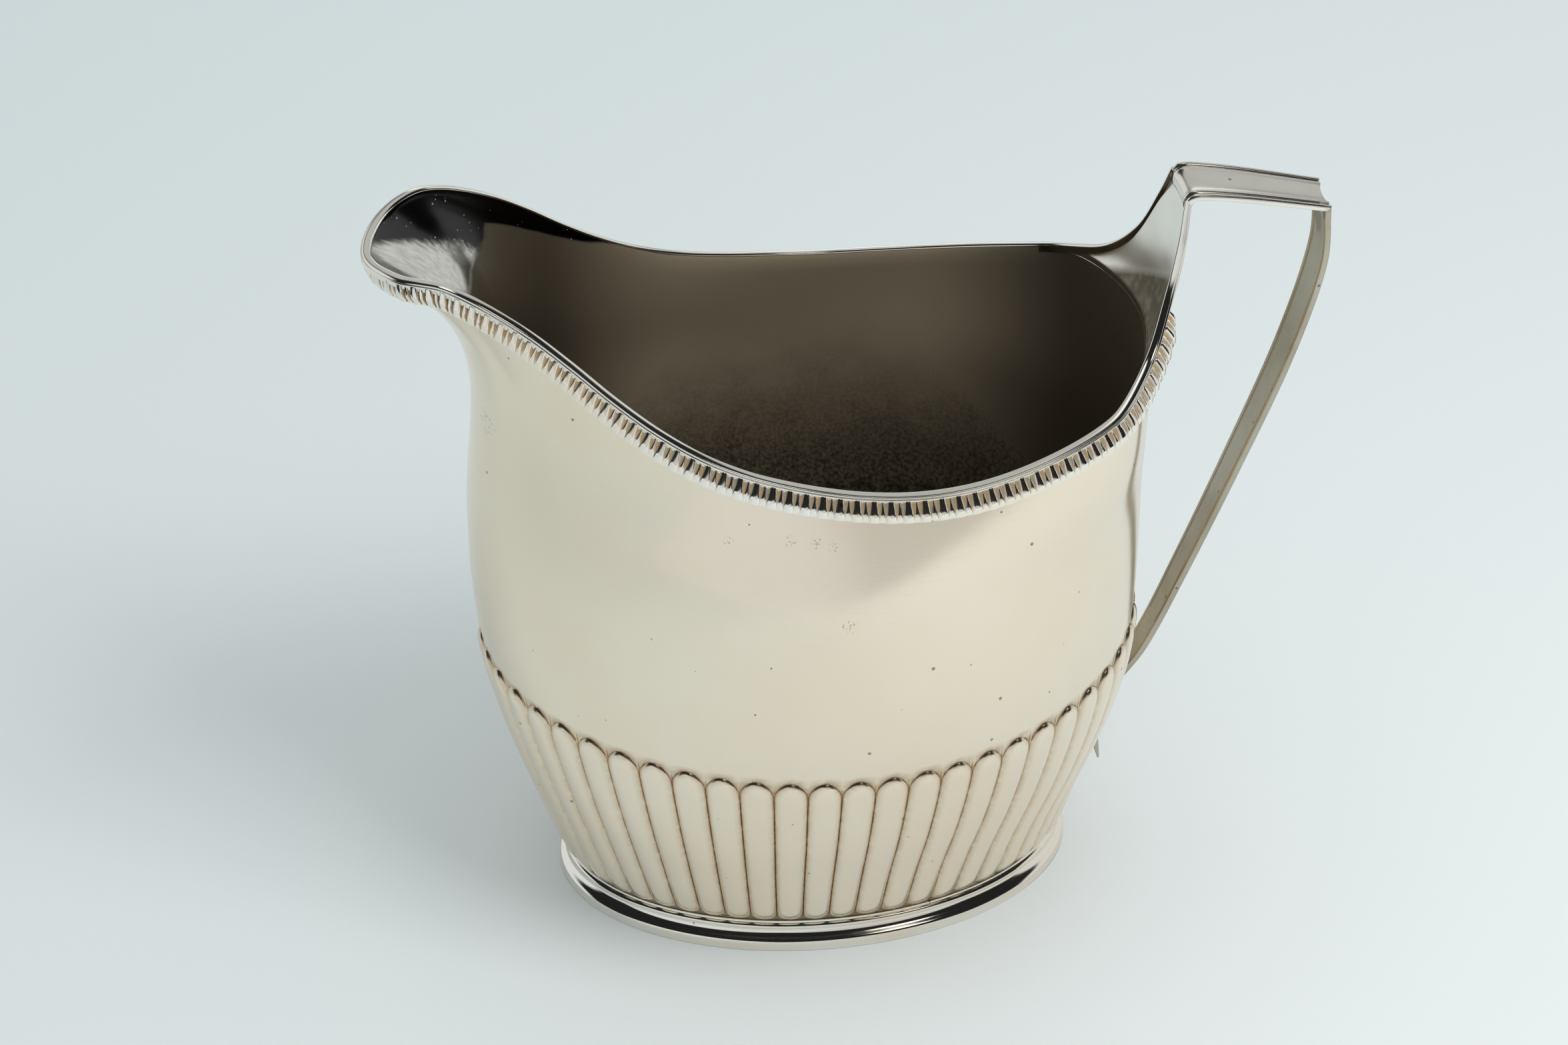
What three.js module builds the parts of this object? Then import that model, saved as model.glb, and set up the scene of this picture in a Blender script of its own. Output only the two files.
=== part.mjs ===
// A silver-plated milk jug: an oval bowl with upright lobes, a broad rising lip, a gadroon border
// and a strap handle. Millimetres. The lip points to -X, the handle to +X, and the foot stands on Z = 0.
import * as THREE from 'three';

// Gap left for the solder between two pieces
const FIT = 0.25;

// Foot ring
const FOOT_LENGTH = 73;
const FOOT_WIDTH = 50.6;
const FOOT_HEIGHT = 4.15;
const FOOT_BAND_HEIGHT = 1.8;
const FOOT_COVE_DEPTH = 1.3;
const FOOT_BEAD_INSET = 0.8;
const FOOT_RING_WIDTH = 2.6;
const FOOT_STEPS = 64;

// Bowl: ovals of the plain surface, each with its height, its reach to the front and back, and its half width
const BOWL_OVALS = [
  { z: 14, front: 38.7, back: 37.9, side: 27.7 },
  { z: 24, front: 42.3, back: 41.4, side: 32.0 },
  { z: 34, front: 45.4, back: 44.0, side: 35.3 },
  { z: 42, front: 47.3, back: 44.9, side: 36.9 },
  { z: 51, front: 48.5, back: 45.3, side: 36.8 },
  { z: 60, front: 48.9, back: 45.4, side: 35.8 },
];
const BOWL_BASE_INSET = 1.4;
const WALL = 0.9;

// Lobes: raised upright panels with round arched tops. The two rounds are shares of a lobe's length.
const LOBE_COUNT = 54;
const LOBE_HEIGHT = 0.9;
const LOBE_LOWER_END = 0.6;
const LOBE_LOWER_ROUND = 0.08;
const LOBE_UPPER_ROUND = 0.07;
const LOBE_TOP_AT_SIDE = 35.5;
const LOBE_TOP_RISE = 4.3;
const LOBE_ARCH = 1.4;
const LOBE_FULLNESS = 2.5;

// Rim: stations on the crest of the wire, from the back (0 degrees) to the tip of the lip (180 degrees)
const RIM_STATIONS = [
  { angle: 0, x: 45.5, y: 0, z: 87.0 },
  { angle: 25, x: 41.0, y: 17.1, z: 86.0 },
  { angle: 45, x: 32.5, y: 24.2, z: 83.3 },
  { angle: 65, x: 17.0, y: 29.4, z: 81.1 },
  { angle: 85, x: 1.3, y: 30.1, z: 81.5 },
  { angle: 102, x: -15.7, y: 27.3, z: 85.3 },
  { angle: 114, x: -27.1, y: 23.9, z: 91.5 },
  { angle: 131, x: -41.7, y: 17.7, z: 103.4 },
  { angle: 147, x: -52.2, y: 12.7, z: 109.1 },
  { angle: 163, x: -58.8, y: 7.8, z: 108.7 },
  { angle: 180, x: -61.9, y: 0, z: 107.6 },
];

// Slope of the wall where it meets the rim, in degrees out from upright, and how it turns into the lip.
// The two pulls are shares of the wall's height over which it keeps its slope at the shoulder and at the rim.
const SIDE_FLARE = -22;
const LIP_FLARE = 60;
const LIP_SHARPNESS = 4;
const SHOULDER_PULL = 0.38;
const RIM_PULL = 0.48;

// Rim wire
const WIRE_WIDTH = 1.9;
const WIRE_HEIGHT = 1.1;
const WIRE_LEG_SIZE = 0.65;
const WIRE_STEPS = 92;

// Gadroon border: its start is a half width on the handle's root, from which it grows over so many units
const BORDER_PITCH = 2.35;
const BORDER_HEIGHT = 3.3;
const BORDER_TOP = 0.55;
const BORDER_BULGE = 0.8;
const BORDER_RECESS = 0.3;
const BORDER_LEAN = 0.4;
const BORDER_TUCK = 0.45;
const BORDER_SCALLOP = 0.4;
const BORDER_START = 10;
const BORDER_GROWTH = 1.6;
const BORDER_TIP_SIZE = 0.6;

// Handle root: stations of its edge above the rim, the rim angle where that edge leaves the rim,
// and the rim angle out to which the sheet itself stands
const TONGUE_STATIONS = [
  { x: 42.9, y: 14.2, z: 88.4 },
  { x: 46.3, y: 9.1, z: 94.3 },
  { x: 48.6, y: 6.3, z: 101.5 },
];
const TONGUE_START = 34;
const TONGUE_FOOT = 22;
const SHEET = 1.0;

// Handle strips: the underside of the top bar, then the inner face of the back strap
const BAR_START = { x: 49.2, z: 106.7 };
const BAR_MIDDLE = { x: 58.9, z: 104.9 };
const BAR_END = { x: 69.6, z: 102.2 };
const BAR_HALF_WIDTH = 4.7;
const STRIP_THICKNESS = 0.95;
const STRAP_HALF_WIDTH = 3.9;
const STRAP_BENDS = [
  { x: 69.5, z: 93 },
  { x: 65.6, z: 78 },
  { x: 58.9, z: 59.6 },
  { x: 52.0, z: 42 },
  { x: 47.0, z: 30.3 },
];
const STRAP_SEAT_TOP = 25;
const STRAP_SEAT_END = 19;
const TAIL_HEIGHT = 12.0;
const TAIL_FLICK = 1.8;
const TAIL_HALF_WIDTH = 1.8;

const UP = new THREE.Vector3(0, 0, 1);
const LIP_WAY = new THREE.Vector3(-1, 0, 0);
const NUDGE = 0.01;
const { degToRad, radToDeg, lerp, euclideanModulo } = THREE.MathUtils;
const at = (x, y, z) => new THREE.Vector3(x, y, z);
const mirrored = (point) => at(point.x, -point.y, point.z);

// A point moved by so much along each of the given axes
function moved(point, ...steps) {
  return steps.reduce((sum, [axis, by]) => sum.addScaledVector(axis, by), point.clone());
}

// A smooth value between uneven knots, with slopes taken from the neighbouring knots
function smooth(knots, values, where) {
  const last = knots.length - 1;
  const slope = (i) => {
    const before = Math.max(i - 1, 0);
    const after = Math.min(i + 1, last);
    return (values[after] - values[before]) / (knots[after] - knots[before]);
  };
  let i = 0;
  while (i < last - 1 && where > knots[i + 1]) i += 1;
  const span = knots[i + 1] - knots[i];
  const t = (where - knots[i]) / span;
  const near = values[i] * (1 + 2 * t) + slope(i) * span * t;
  const far = values[i + 1] * (3 - 2 * t) + slope(i + 1) * span * (t - 1);
  return near * (1 - t) ** 2 + far * t ** 2;
}

// A closed body from its points and triangles, with every face turned outward
function solid(points, triangles) {
  let volume = 0;
  for (let i = 0; i < triangles.length; i += 3) {
    const [a, b, c] = [0, 1, 2].map((k) => points[triangles[i + k]]);
    volume += a.dot(b.clone().cross(c));
  }
  const index = volume < 0 ? triangles.reverse() : triangles;
  const geometry = new THREE.BufferGeometry().setFromPoints(points);
  geometry.setIndex(index);
  geometry.computeVertexNormals();
  return geometry;
}

// Skin over rings of points. A ring of one point is a pole, and neighbouring rings may have 2 to 1 points.
function skin(rings, wraps = false) {
  const points = rings.flat();
  const triangles = [];
  let start = 0;
  const starts = rings.map((ring) => (start += ring.length) - ring.length);
  const pairs = wraps ? rings.length : rings.length - 1;
  for (let r = 0; r < pairs; r += 1) {
    const next = (r + 1) % rings.length;
    const low = rings[r].length;
    const high = rings[next].length;
    const a = (j) => starts[r] + (j % low);
    const b = (j) => starts[next] + (j % high);
    const share = Math.max(low, high) / Math.min(low, high);
    const half = Math.ceil(share / 2);
    for (let j = 0; j < Math.min(low, high); j += 1) {
      for (let k = 0; k < share; k += 1) {
        const fine = j * share + k;
        const coarse = k < half ? j : j + 1;
        if (low >= high) triangles.push(a(fine), a(fine + 1), b(coarse));
        else triangles.push(a(coarse), b(fine + 1), b(fine));
      }
      if (low >= high && high > 1) triangles.push(a(j * share + half), b(j + 1), b(j));
      if (low < high && low > 1) triangles.push(a(j), a(j + 1), b(j * share + half));
    }
  }
  return solid(points, triangles);
}

// Bar through a row of sections with equal numbers of points, closed by the faces given for each end
function loft(sections, firstFaces, lastFaces) {
  const count = sections[0].length;
  const triangles = [];
  const last = (sections.length - 1) * count;
  for (let s = 0; s < last; s += count) {
    for (let j = 0; j < count; j += 1) {
      const k = (j + 1) % count;
      triangles.push(s + j, s + k, s + count + k, s + j, s + count + k, s + count + j);
    }
  }
  for (const [a, b, c] of firstFaces) triangles.push(c, b, a);
  for (const [a, b, c] of lastFaces) triangles.push(last + a, last + b, last + c);
  return solid(sections.flat(), triangles);
}

// End faces of a section outline, wound the same way as the outline itself
function endFaces(outline) {
  const flat = outline.map(([across, out]) => new THREE.Vector2(across, out));
  const way = Math.sign(THREE.ShapeUtils.area(flat));
  return THREE.ShapeUtils.triangulateShape(flat, []).map((face) => {
    const turn = THREE.ShapeUtils.area(face.map((i) => flat[i]));
    return Math.sign(turn) === way ? face : [...face].reverse();
  });
}

// Strip with a section, given as steps across and out, set on each of a row of frames
function sweep(frames, sectionAt) {
  const outlines = frames.map((frame, i) => sectionAt(i / (frames.length - 1)));
  const sections = frames.map(({ point, across, out }, i) => (
    outlines[i].map(([a, o]) => moved(point, [across, a], [out, o]))
  ));
  return loft(sections, endFaces(outlines[0]), endFaces(outlines.at(-1)));
}

// Foot ring: a plain band, a cove and a bead, hollow underneath
const footHalfLength = FOOT_LENGTH / 2;
const footHalfWidth = FOOT_WIDTH / 2;

function footOval(inset, z) {
  return Array.from({ length: FOOT_STEPS }, (_, i) => {
    const angle = (i / FOOT_STEPS) * 2 * Math.PI;
    return at((footHalfLength - inset) * Math.cos(angle), (footHalfWidth - inset) * Math.sin(angle), z);
  });
}

function footRing() {
  const coveFoot = lerp(FOOT_BAND_HEIGHT, FOOT_HEIGHT, 0.25);
  const coveHead = lerp(FOOT_BAND_HEIGHT, FOOT_HEIGHT, 0.55);
  const beadMiddle = lerp(FOOT_BAND_HEIGHT, FOOT_HEIGHT, 0.8);
  const section = [
    [0, 0],
    [0, FOOT_BAND_HEIGHT * 0.75],
    [FOOT_COVE_DEPTH * 0.3, FOOT_BAND_HEIGHT],
    [FOOT_COVE_DEPTH * 0.8, coveFoot],
    [FOOT_COVE_DEPTH, coveHead],
    [FOOT_BEAD_INSET, beadMiddle],
    [FOOT_COVE_DEPTH, FOOT_HEIGHT],
    [FOOT_RING_WIDTH, FOOT_HEIGHT],
    [FOOT_RING_WIDTH, FOOT_BAND_HEIGHT],
    [FOOT_COVE_DEPTH + FIT, 0],
  ];
  return skin(section.map(([inset, z]) => footOval(inset, z)), true);
}

// Rim line: the stations of one side, carried past both ends by their mirror images
const rimLine = [
  { ...mirrored(RIM_STATIONS[1]), angle: -RIM_STATIONS[1].angle },
  ...RIM_STATIONS,
  { ...mirrored(RIM_STATIONS.at(-2)), angle: 360 - RIM_STATIONS.at(-2).angle },
];
const rimKnots = rimLine.map((station) => station.angle);

function rimPoint(angle) {
  const turn = euclideanModulo(radToDeg(angle), 360);
  const side = turn > 180 ? -1 : 1;
  const where = side > 0 ? turn : 360 - turn;
  const value = (key) => smooth(rimKnots, rimLine.map((station) => station[key]), where);
  return at(value('x'), side * value('y'), value('z'));
}

// Frame on a line round the rim: across points away from the bowl and out points up
function frameAt(point, along) {
  const across = along.clone().cross(UP).normalize();
  return { point, along, across, out: across.clone().cross(along) };
}

function rimFrame(angle) {
  const along = rimPoint(angle + NUDGE).sub(rimPoint(angle - NUDGE)).normalize();
  return frameAt(rimPoint(angle), along);
}

// Bowl surface: ovals from the foot (level 0) to the shoulder (level 1), then curves up to the rim (level 2)
const bowlBase = FOOT_HEIGHT + FIT;
const baseReach = { front: footHalfLength - BOWL_BASE_INSET, back: footHalfLength - BOWL_BASE_INSET };
const ovals = [{ z: bowlBase, ...baseReach, side: footHalfWidth - BOWL_BASE_INSET }, ...BOWL_OVALS];
const ovalHeights = ovals.map((oval) => oval.z);
const shoulder = ovalHeights.at(-1);
const rimDrop = WIRE_HEIGHT + FIT;
const levelOf = (z) => (z - bowlBase) / (shoulder - bowlBase);

function ovalPoint(angle, z) {
  const reach = (key) => smooth(ovalHeights, ovals.map((oval) => oval[key]), z);
  const along = Math.cos(angle);
  return at(reach(along < 0 ? 'front' : 'back') * along, reach('side') * Math.sin(angle), z);
}

function bowl(angle, level) {
  if (level <= 1) return ovalPoint(angle, lerp(bowlBase, shoulder, level));
  const { point, across, out } = rimFrame(angle);
  const foot = ovalPoint(angle, shoulder);
  const head = moved(point, [across, WALL / 2], [out, -rimDrop]);
  const leave = foot.clone().sub(ovalPoint(angle, shoulder - NUDGE)).normalize();
  const toLip = ((1 - Math.cos(angle)) / 2) ** LIP_SHARPNESS;
  const flare = degToRad(SIDE_FLARE * Math.sin(angle) ** 2 + LIP_FLARE * toLip);
  const height = foot.distanceTo(head);
  const pull = RIM_PULL * height;
  const after = moved(foot, [leave, SHOULDER_PULL * height]);
  const outward = across.clone().lerp(LIP_WAY, toLip).normalize();
  const before = moved(head, [outward, -pull * Math.sin(flare)], [UP, -pull * Math.cos(flare)]);
  return new THREE.CubicBezierCurve3(foot, after, before, head).getPoint(level - 1);
}

function bowlNormal(angle, level) {
  const around = bowl(angle + NUDGE, level).sub(bowl(angle - NUDGE, level));
  const rise = bowl(angle, Math.min(level + NUDGE, 2)).sub(bowl(angle, Math.max(level - NUDGE, 0)));
  return around.cross(rise).normalize();
}

const offBowl = (angle, level, by) => moved(bowl(angle, level), [bowlNormal(angle, level), by]);

// Angles that share out the girth of the bowl evenly at the tops of the lobes
const GIRTH_STEPS = 720;
const girth = [0];
for (let i = 1; i <= GIRTH_STEPS; i += 1) {
  const [from, to] = [i - 1, i].map((k) => ovalPoint((k / GIRTH_STEPS) * 2 * Math.PI, LOBE_TOP_AT_SIDE));
  girth.push(girth[i - 1] + to.distanceTo(from));
}

function angleAtShare(share) {
  const wanted = share * girth[GIRTH_STEPS];
  const i = Math.max(girth.findIndex((length) => length >= wanted), 1);
  const part = (wanted - girth[i - 1]) / (girth[i] - girth[i - 1]);
  return ((i - 1 + part) / GIRTH_STEPS) * 2 * Math.PI;
}

// Columns of points round the bowl: places across each lobe from its left groove (-1) over its crest (0)
const LOBE_PLACES = [-1, -0.62, 0, 0.62];
const PLAIN_PLACES = [-1, 0];

function columns(places) {
  return Array.from({ length: LOBE_COUNT }, (_, lobe) => places.map((place) => (
    { place, angle: angleAtShare((lobe + (place + 1) / 2) / LOBE_COUNT) }
  ))).flat();
}

const lobeTop = (angle) => LOBE_TOP_AT_SIDE + LOBE_TOP_RISE * Math.cos(angle) ** 2;

// One row of the lobes, from their lower ends (0) to their arched tops (1)
function lobeRow(share) {
  const fromLowerRound = Math.max(1 - share / LOBE_LOWER_ROUND, 0);
  const fromUpperRound = Math.max(1 - (1 - share) / LOBE_UPPER_ROUND, 0);
  const ends = Math.sqrt(1 - fromLowerRound ** 2) * Math.sqrt(1 - fromUpperRound ** 2);
  return columns(LOBE_PLACES).map(({ place, angle }) => {
    const dome = Math.sqrt(1 - Math.abs(place) ** LOBE_FULLNESS);
    const bottom = bowlBase + LOBE_LOWER_END * (2 - dome);
    const top = lobeTop(angle) + LOBE_ARCH * Math.sqrt(1 - place ** 2);
    return offBowl(angle, levelOf(lerp(bottom, top, share)), LOBE_HEIGHT * dome * ends);
  });
}

// One row of the plain wall between the lobes (0) and the shoulder (1)
function plainRow(share) {
  return columns(PLAIN_PLACES).map(({ angle }) => {
    const low = lobeTop(angle) + LOBE_ARCH;
    return bowl(angle, levelOf(lerp(low, shoulder, share)));
  });
}

const wallRow = (level, depth, places) => (
  columns(places).map(({ angle }) => (depth > 0 ? offBowl(angle, level, -depth) : bowl(angle, level)))
);

// The inner edge of the rim, level with its outer edge
function innerEdge() {
  return columns(PLAIN_PLACES).map(({ angle }) => {
    const { point, across, out } = rimFrame(angle);
    return moved(point, [across, -WALL / 2], [out, -rimDrop]);
  });
}

function bodyShell() {
  const floor = bowlBase + WALL;
  const inside = (level) => wallRow(level, WALL, PLAIN_PLACES);
  const insideLow = (level) => wallRow(level, WALL, [-1]);
  return skin([
    [at(0, 0, bowlBase)],
    wallRow(0, 0, PLAIN_PLACES),
    ...[0, 0.04, 0.2, 0.55, 0.86, 0.95, 1].map(lobeRow),
    ...[0.45, 1].map(plainRow),
    ...[1.25, 1.5, 1.7, 1.85, 1.94, 2].map((level) => wallRow(level, 0, PLAIN_PLACES)),
    innerEdge(),
    ...[1.86, 1.65, 1.3, 0.95].map(inside),
    ...[0.75, 0.55, 0.35, 0.18].map(insideLow),
    wallRow(levelOf(floor), 2 * WALL, [-1]).map((point) => point.setZ(floor)),
    [at(0, 0, floor)],
  ]);
}

// Edge line: down one side of the handle's root, round the rim and up the other side
const tongueHead = at(BAR_START.x + SHEET / 2, BAR_HALF_WIDTH - FIT, BAR_START.z - FIT);
const tongueSide = [tongueHead, ...[...TONGUE_STATIONS].reverse().map(({ x, y, z }) => at(x, y, z))];
const RIM_SAMPLES = 48;
const rimSide = Array.from({ length: RIM_SAMPLES + 1 }, (_, i) => (
  rimPoint(degToRad(lerp(TONGUE_START, 360 - TONGUE_START, i / RIM_SAMPLES)))
));
const edgeLine = new THREE.CatmullRomCurve3(
  [...tongueSide, ...rimSide, ...tongueSide.map(mirrored).reverse()],
);
const edgeFrame = (share) => frameAt(edgeLine.getPointAt(share), edgeLine.getTangentAt(share));

// Rim wire: a broad half-round reed with a thin bead along its outer side
const wireInner = -WIRE_WIDTH * 0.37;
const wireOuter = WIRE_WIDTH * 0.63;
const WIRE_SECTION = [
  [wireInner, -WIRE_HEIGHT],
  [wireInner, -WIRE_HEIGHT * 0.4],
  [wireInner * 0.55, -WIRE_HEIGHT * 0.08],
  [0, 0],
  [wireOuter * 0.38, -WIRE_HEIGHT * 0.14],
  [wireOuter * 0.6, -WIRE_HEIGHT * 0.5],
  [wireOuter * 0.8, -WIRE_HEIGHT * 0.42],
  [wireOuter, -WIRE_HEIGHT * 0.65],
  [wireOuter * 0.95, -WIRE_HEIGHT],
];

// Share of the edge line, from its upper end, where the leg of the wire has come out to the given half width
const LEG_SEARCH_STEPS = 400;

function legShare(halfWidth) {
  const shares = Array.from({ length: LEG_SEARCH_STEPS }, (_, i) => i / LEG_SEARCH_STEPS / 4);
  return shares.find((share) => edgeLine.getPointAt(share).y > halfWidth);
}

// Size of the wire's section: full on the rim, and thinner up the two legs
const legEnd = legShare(rimPoint(degToRad(TONGUE_START)).y - FIT);
const wireSize = (share) => lerp(WIRE_LEG_SIZE, 1, Math.min(share / legEnd, (1 - share) / legEnd, 1));

function rimWire() {
  const frames = Array.from({ length: WIRE_STEPS + 1 }, (_, i) => edgeFrame(i / WIRE_STEPS));
  return sweep(frames, (share) => WIRE_SECTION.map((spot) => spot.map((step) => step * wireSize(share))));
}

// Rim angle at a share of the edge line. Before the line joins the rim, it is under the angle of the joint.
function edgeAngle(share) {
  const station = edgeLine.getUtoTmapping(share) * (edgeLine.points.length - 1) - tongueSide.length;
  return degToRad(lerp(TONGUE_START, 360 - TONGUE_START, station / RIM_SAMPLES));
}

// Gadroon border of one side: units of a broad lobe and two thin reeds, given as shares of the unit and of
// the bulge. It hangs below the wire, from the handle's root to the tip of the lip.
const UNIT_PROFILE = [
  [0, 0], [0.14, 0.95], [0.36, 0.95], [0.5, 0.05], [0.62, 0.65], [0.75, 0.1], [0.88, 0.65],
];

function gadroonBorder(side) {
  const start = legShare(BORDER_START);
  const end = 0.5 - FIT / 2 / edgeLine.getLength();
  const units = Math.round(((end - start) * edgeLine.getLength()) / BORDER_PITCH);
  const points = [];
  const triangles = [];
  const add = (point) => points.push(side > 0 ? point : mirrored(point)) - 1;
  const place = (at) => {
    const share = lerp(start, end, at / units);
    const size = Math.sqrt(Math.min((at + BORDER_TIP_SIZE) / BORDER_GROWTH, 1));
    const { point, across, out } = edgeFrame(share);
    const angle = Math.max(edgeAngle(share), degToRad(TONGUE_START));
    const wall = bowl(angle, 2 - NUDGE).sub(bowl(angle, 2)).normalize();
    const hang = out.clone().negate().lerp(wall, BORDER_TUCK).normalize();
    const spot = (outward, by, down = hang) => (
      moved(point, [across, outward], [out, -rimDrop], [down, by])
    );
    return { share, size, angle, wall, spot };
  };
  const front = (unit, [share, rise]) => {
    const { size, spot } = place(unit + share);
    const head = WALL / 2 + FIT + BORDER_TOP * size;
    const height = BORDER_HEIGHT * size;
    const lean = BORDER_LEAN * size;
    const relief = BORDER_BULGE * size * lerp(BORDER_RECESS, 1, rise);
    const edge = lean * lerp(1 - BORDER_SCALLOP, 1, rise);
    return [[head, 0], [head + lean / 2 + relief, height / 2], [head + edge, height]].map(
      ([outward, by]) => add(spot(outward, by)),
    );
  };
  const back = (unit) => {
    const { share, size, angle, wall, spot } = place(unit);
    const height = BORDER_HEIGHT * size;
    const reach = 3 * RIM_PULL * bowl(angle, 1).distanceTo(bowl(angle, 2));
    const behind = WALL / 2 + FIT;
    const onRim = edgeAngle(share) >= degToRad(TONGUE_START);
    const low = onRim ? offBowl(angle, 2 - height / reach, FIT) : spot(behind, height, wall);
    return [add(spot(behind, 0)), add(low)];
  };
  let [top, bottom] = back(0);
  let [a, b, c] = front(0, UNIT_PROFILE[0]);
  triangles.push(top, a, b, top, b, c, top, c, bottom);
  for (let unit = 0; unit < units; unit += 1) {
    const [nextTop, nextBottom] = back(unit + 1);
    const stops = [...UNIT_PROFILE.slice(1), [1, 0]];
    stops.forEach((stop, i) => {
      const [d, e, f] = front(unit, stop);
      const late = i >= stops.length / 2;
      if (i === Math.ceil(stops.length / 2)) triangles.push(top, nextTop, a, bottom, c, nextBottom);
      triangles.push(a, d, e, a, e, b, b, e, f, b, f, c);
      triangles.push(late ? nextTop : top, d, a, late ? nextBottom : bottom, c, f);
      [a, b, c] = [d, e, f];
    });
    triangles.push(top, bottom, nextBottom, top, nextBottom, nextTop);
    [top, bottom] = [nextTop, nextBottom];
  }
  triangles.push(top, b, a, top, c, b, top, bottom, c);
  return solid(points, triangles);
}

// Handle root: a sheet tongue that stands on the back of the rim, between the two legs of the wire
const TONGUE_ROWS = 8;
const TONGUE_PLACES = [-1, -0.75, -0.5, -0.25, 0, 0.25, 0.5, 0.75, 1];

// Edge of the tongue's front (-1) or back face (1): on the rim it lies under the wire, higher up beside it
function tongueEdge(share, face) {
  const { point, along, across, out } = edgeFrame(share);
  const rise = Math.min(Math.abs(along.z), 1);
  const aside = lerp(face * SHEET / 2, wireInner * wireSize(share) - 1.5 * FIT, rise);
  const below = lerp(rimDrop, face < 0 ? FIT : FIT + SHEET, rise);
  return moved(point, [across, aside], [out, -below]);
}

function handleRoot() {
  const footAngle = degToRad(TONGUE_FOOT);
  const footShare = legShare(rimPoint(footAngle).y);
  const surface = (face, place, row) => {
    const edge = tongueEdge(footShare * (1 - row), face);
    const foot = tongueEdge(footShare, face);
    const { point, across, out } = rimFrame(place * footAngle);
    const base = moved(point, [across, face * SHEET / 2], [out, FIT - rimDrop]);
    return at(
      edge.x + (base.x - foot.x) * (1 - row) ** 2,
      edge.y * place + (base.y - foot.y * place) * (1 - row),
      edge.z + (base.z - foot.z) * (1 - row),
    );
  };
  const sections = Array.from({ length: TONGUE_ROWS + 1 }, (_, i) => {
    const face = (side) => TONGUE_PLACES.map((place) => surface(side, place, i / TONGUE_ROWS));
    return [...face(-1), ...face(1).reverse()];
  });
  const last = 2 * TONGUE_PLACES.length - 1;
  const faces = TONGUE_PLACES.slice(1).flatMap((_, i) => (
    [[i, i + 1, last - i - 1], [i, last - i - 1, last - i]]
  ));
  return loft(sections, faces, faces);
}

// Moulded strip section: flat inside, and outside a bead at each edge, a ridge within it and a broad hollow
function stripSection(halfWidth) {
  const half = [[1, 0], [1, 0.6], [0.93, 1], [0.8, 0.62], [0.66, 0.95], [0.45, 0.6]];
  const right = half.map(([across, out]) => [across * halfWidth, out * STRIP_THICKNESS]);
  const left = right.map(([across, out]) => [-across, out]);
  return [...left, [0, 0.5 * STRIP_THICKNESS], ...right.reverse()];
}

// Frames along a line in the jug's middle plane, with the moulded face outward
const ACROSS = at(0, -1, 0);

function planeFrame(point, along) {
  return { point, along, across: ACROSS, out: ACROSS.clone().cross(along) };
}

function lineFrames(line, steps, rest = (point) => point) {
  const points = line.getSpacedPoints(steps).map(rest);
  return points.map((point, i) => {
    const before = points[Math.max(i - 1, 0)];
    const after = points[Math.min(i + 1, steps)];
    return planeFrame(point, after.clone().sub(before).normalize());
  });
}

// The strap rests on the lobes where it meets the bowl
const seat = (z) => offBowl(0, levelOf(z), LOBE_HEIGHT + FIT);
const tailTip = moved(seat(TAIL_HEIGHT), [bowlNormal(0, levelOf(TAIL_HEIGHT)), TAIL_FLICK]);
const barLine = new THREE.CatmullRomCurve3([BAR_START, BAR_MIDDLE, BAR_END].map(({ x, z }) => at(x, 0, z)));
const strapLine = new THREE.CatmullRomCurve3([
  ...[BAR_END, ...STRAP_BENDS].map(({ x, z }) => at(x, 0, z)),
  seat(STRAP_SEAT_TOP),
  seat(STRAP_SEAT_END),
  tailTip,
]);
const BAR_STEPS = 6;
const STRAP_STEPS = 28;
const barFrames = lineFrames(barLine, BAR_STEPS);
const strapFrames = lineFrames(strapLine, STRAP_STEPS, (point) => {
  const level = levelOf(point.z);
  return level < 1 ? point.setX(Math.max(point.x, seat(point.z).x)) : point;
});

// Both strips end on the mitre plane at the outer corner, each half a fit away from it
const barTip = barFrames.at(-1);
const strapTip = strapFrames[0];
const mitre = barTip.out.clone().add(strapTip.out).divideScalar(1 + barTip.out.dot(strapTip.out));
barFrames[BAR_STEPS] = { ...barTip, out: mitre, point: moved(barTip.point, [barTip.along, -FIT]) };
strapFrames[0] = { ...strapTip, out: mitre, point: moved(strapTip.point, [strapTip.along, FIT]) };

const handleTopBar = () => (
  sweep(barFrames, (share) => stripSection(lerp(BAR_HALF_WIDTH, STRAP_HALF_WIDTH, share)))
);
const handleBackStrap = () => (
  sweep(strapFrames, (share) => stripSection(lerp(STRAP_HALF_WIDTH, TAIL_HALF_WIDTH, share)))
);

// The jug, moved so that its origin is under the middle of its length
const silver = { color: 0xd6d0c4, metalness: 1 };
const jug = new THREE.Group();

function piece(name, geometry, roughness) {
  const mesh = new THREE.Mesh(geometry, new THREE.MeshStandardMaterial({ ...silver, roughness }));
  mesh.name = name;
  jug.add(mesh);
}

piece('body_shell', bodyShell(), 0.16);
piece('foot_ring', footRing(), 0.2);
piece('rim_wire', rimWire(), 0.18);
piece('gadroon_border_left', gadroonBorder(-1), 0.25);
piece('gadroon_border_right', gadroonBorder(1), 0.25);
piece('handle_root', handleRoot(), 0.2);
piece('handle_top_bar', handleTopBar(), 0.2);
piece('handle_back_strap', handleBackStrap(), 0.2);

const extent = new THREE.Box3().setFromObject(jug);
jug.position.x = -(extent.min.x + extent.max.x) / 2;

export default jug;
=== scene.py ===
import math
from functools import partial

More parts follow.
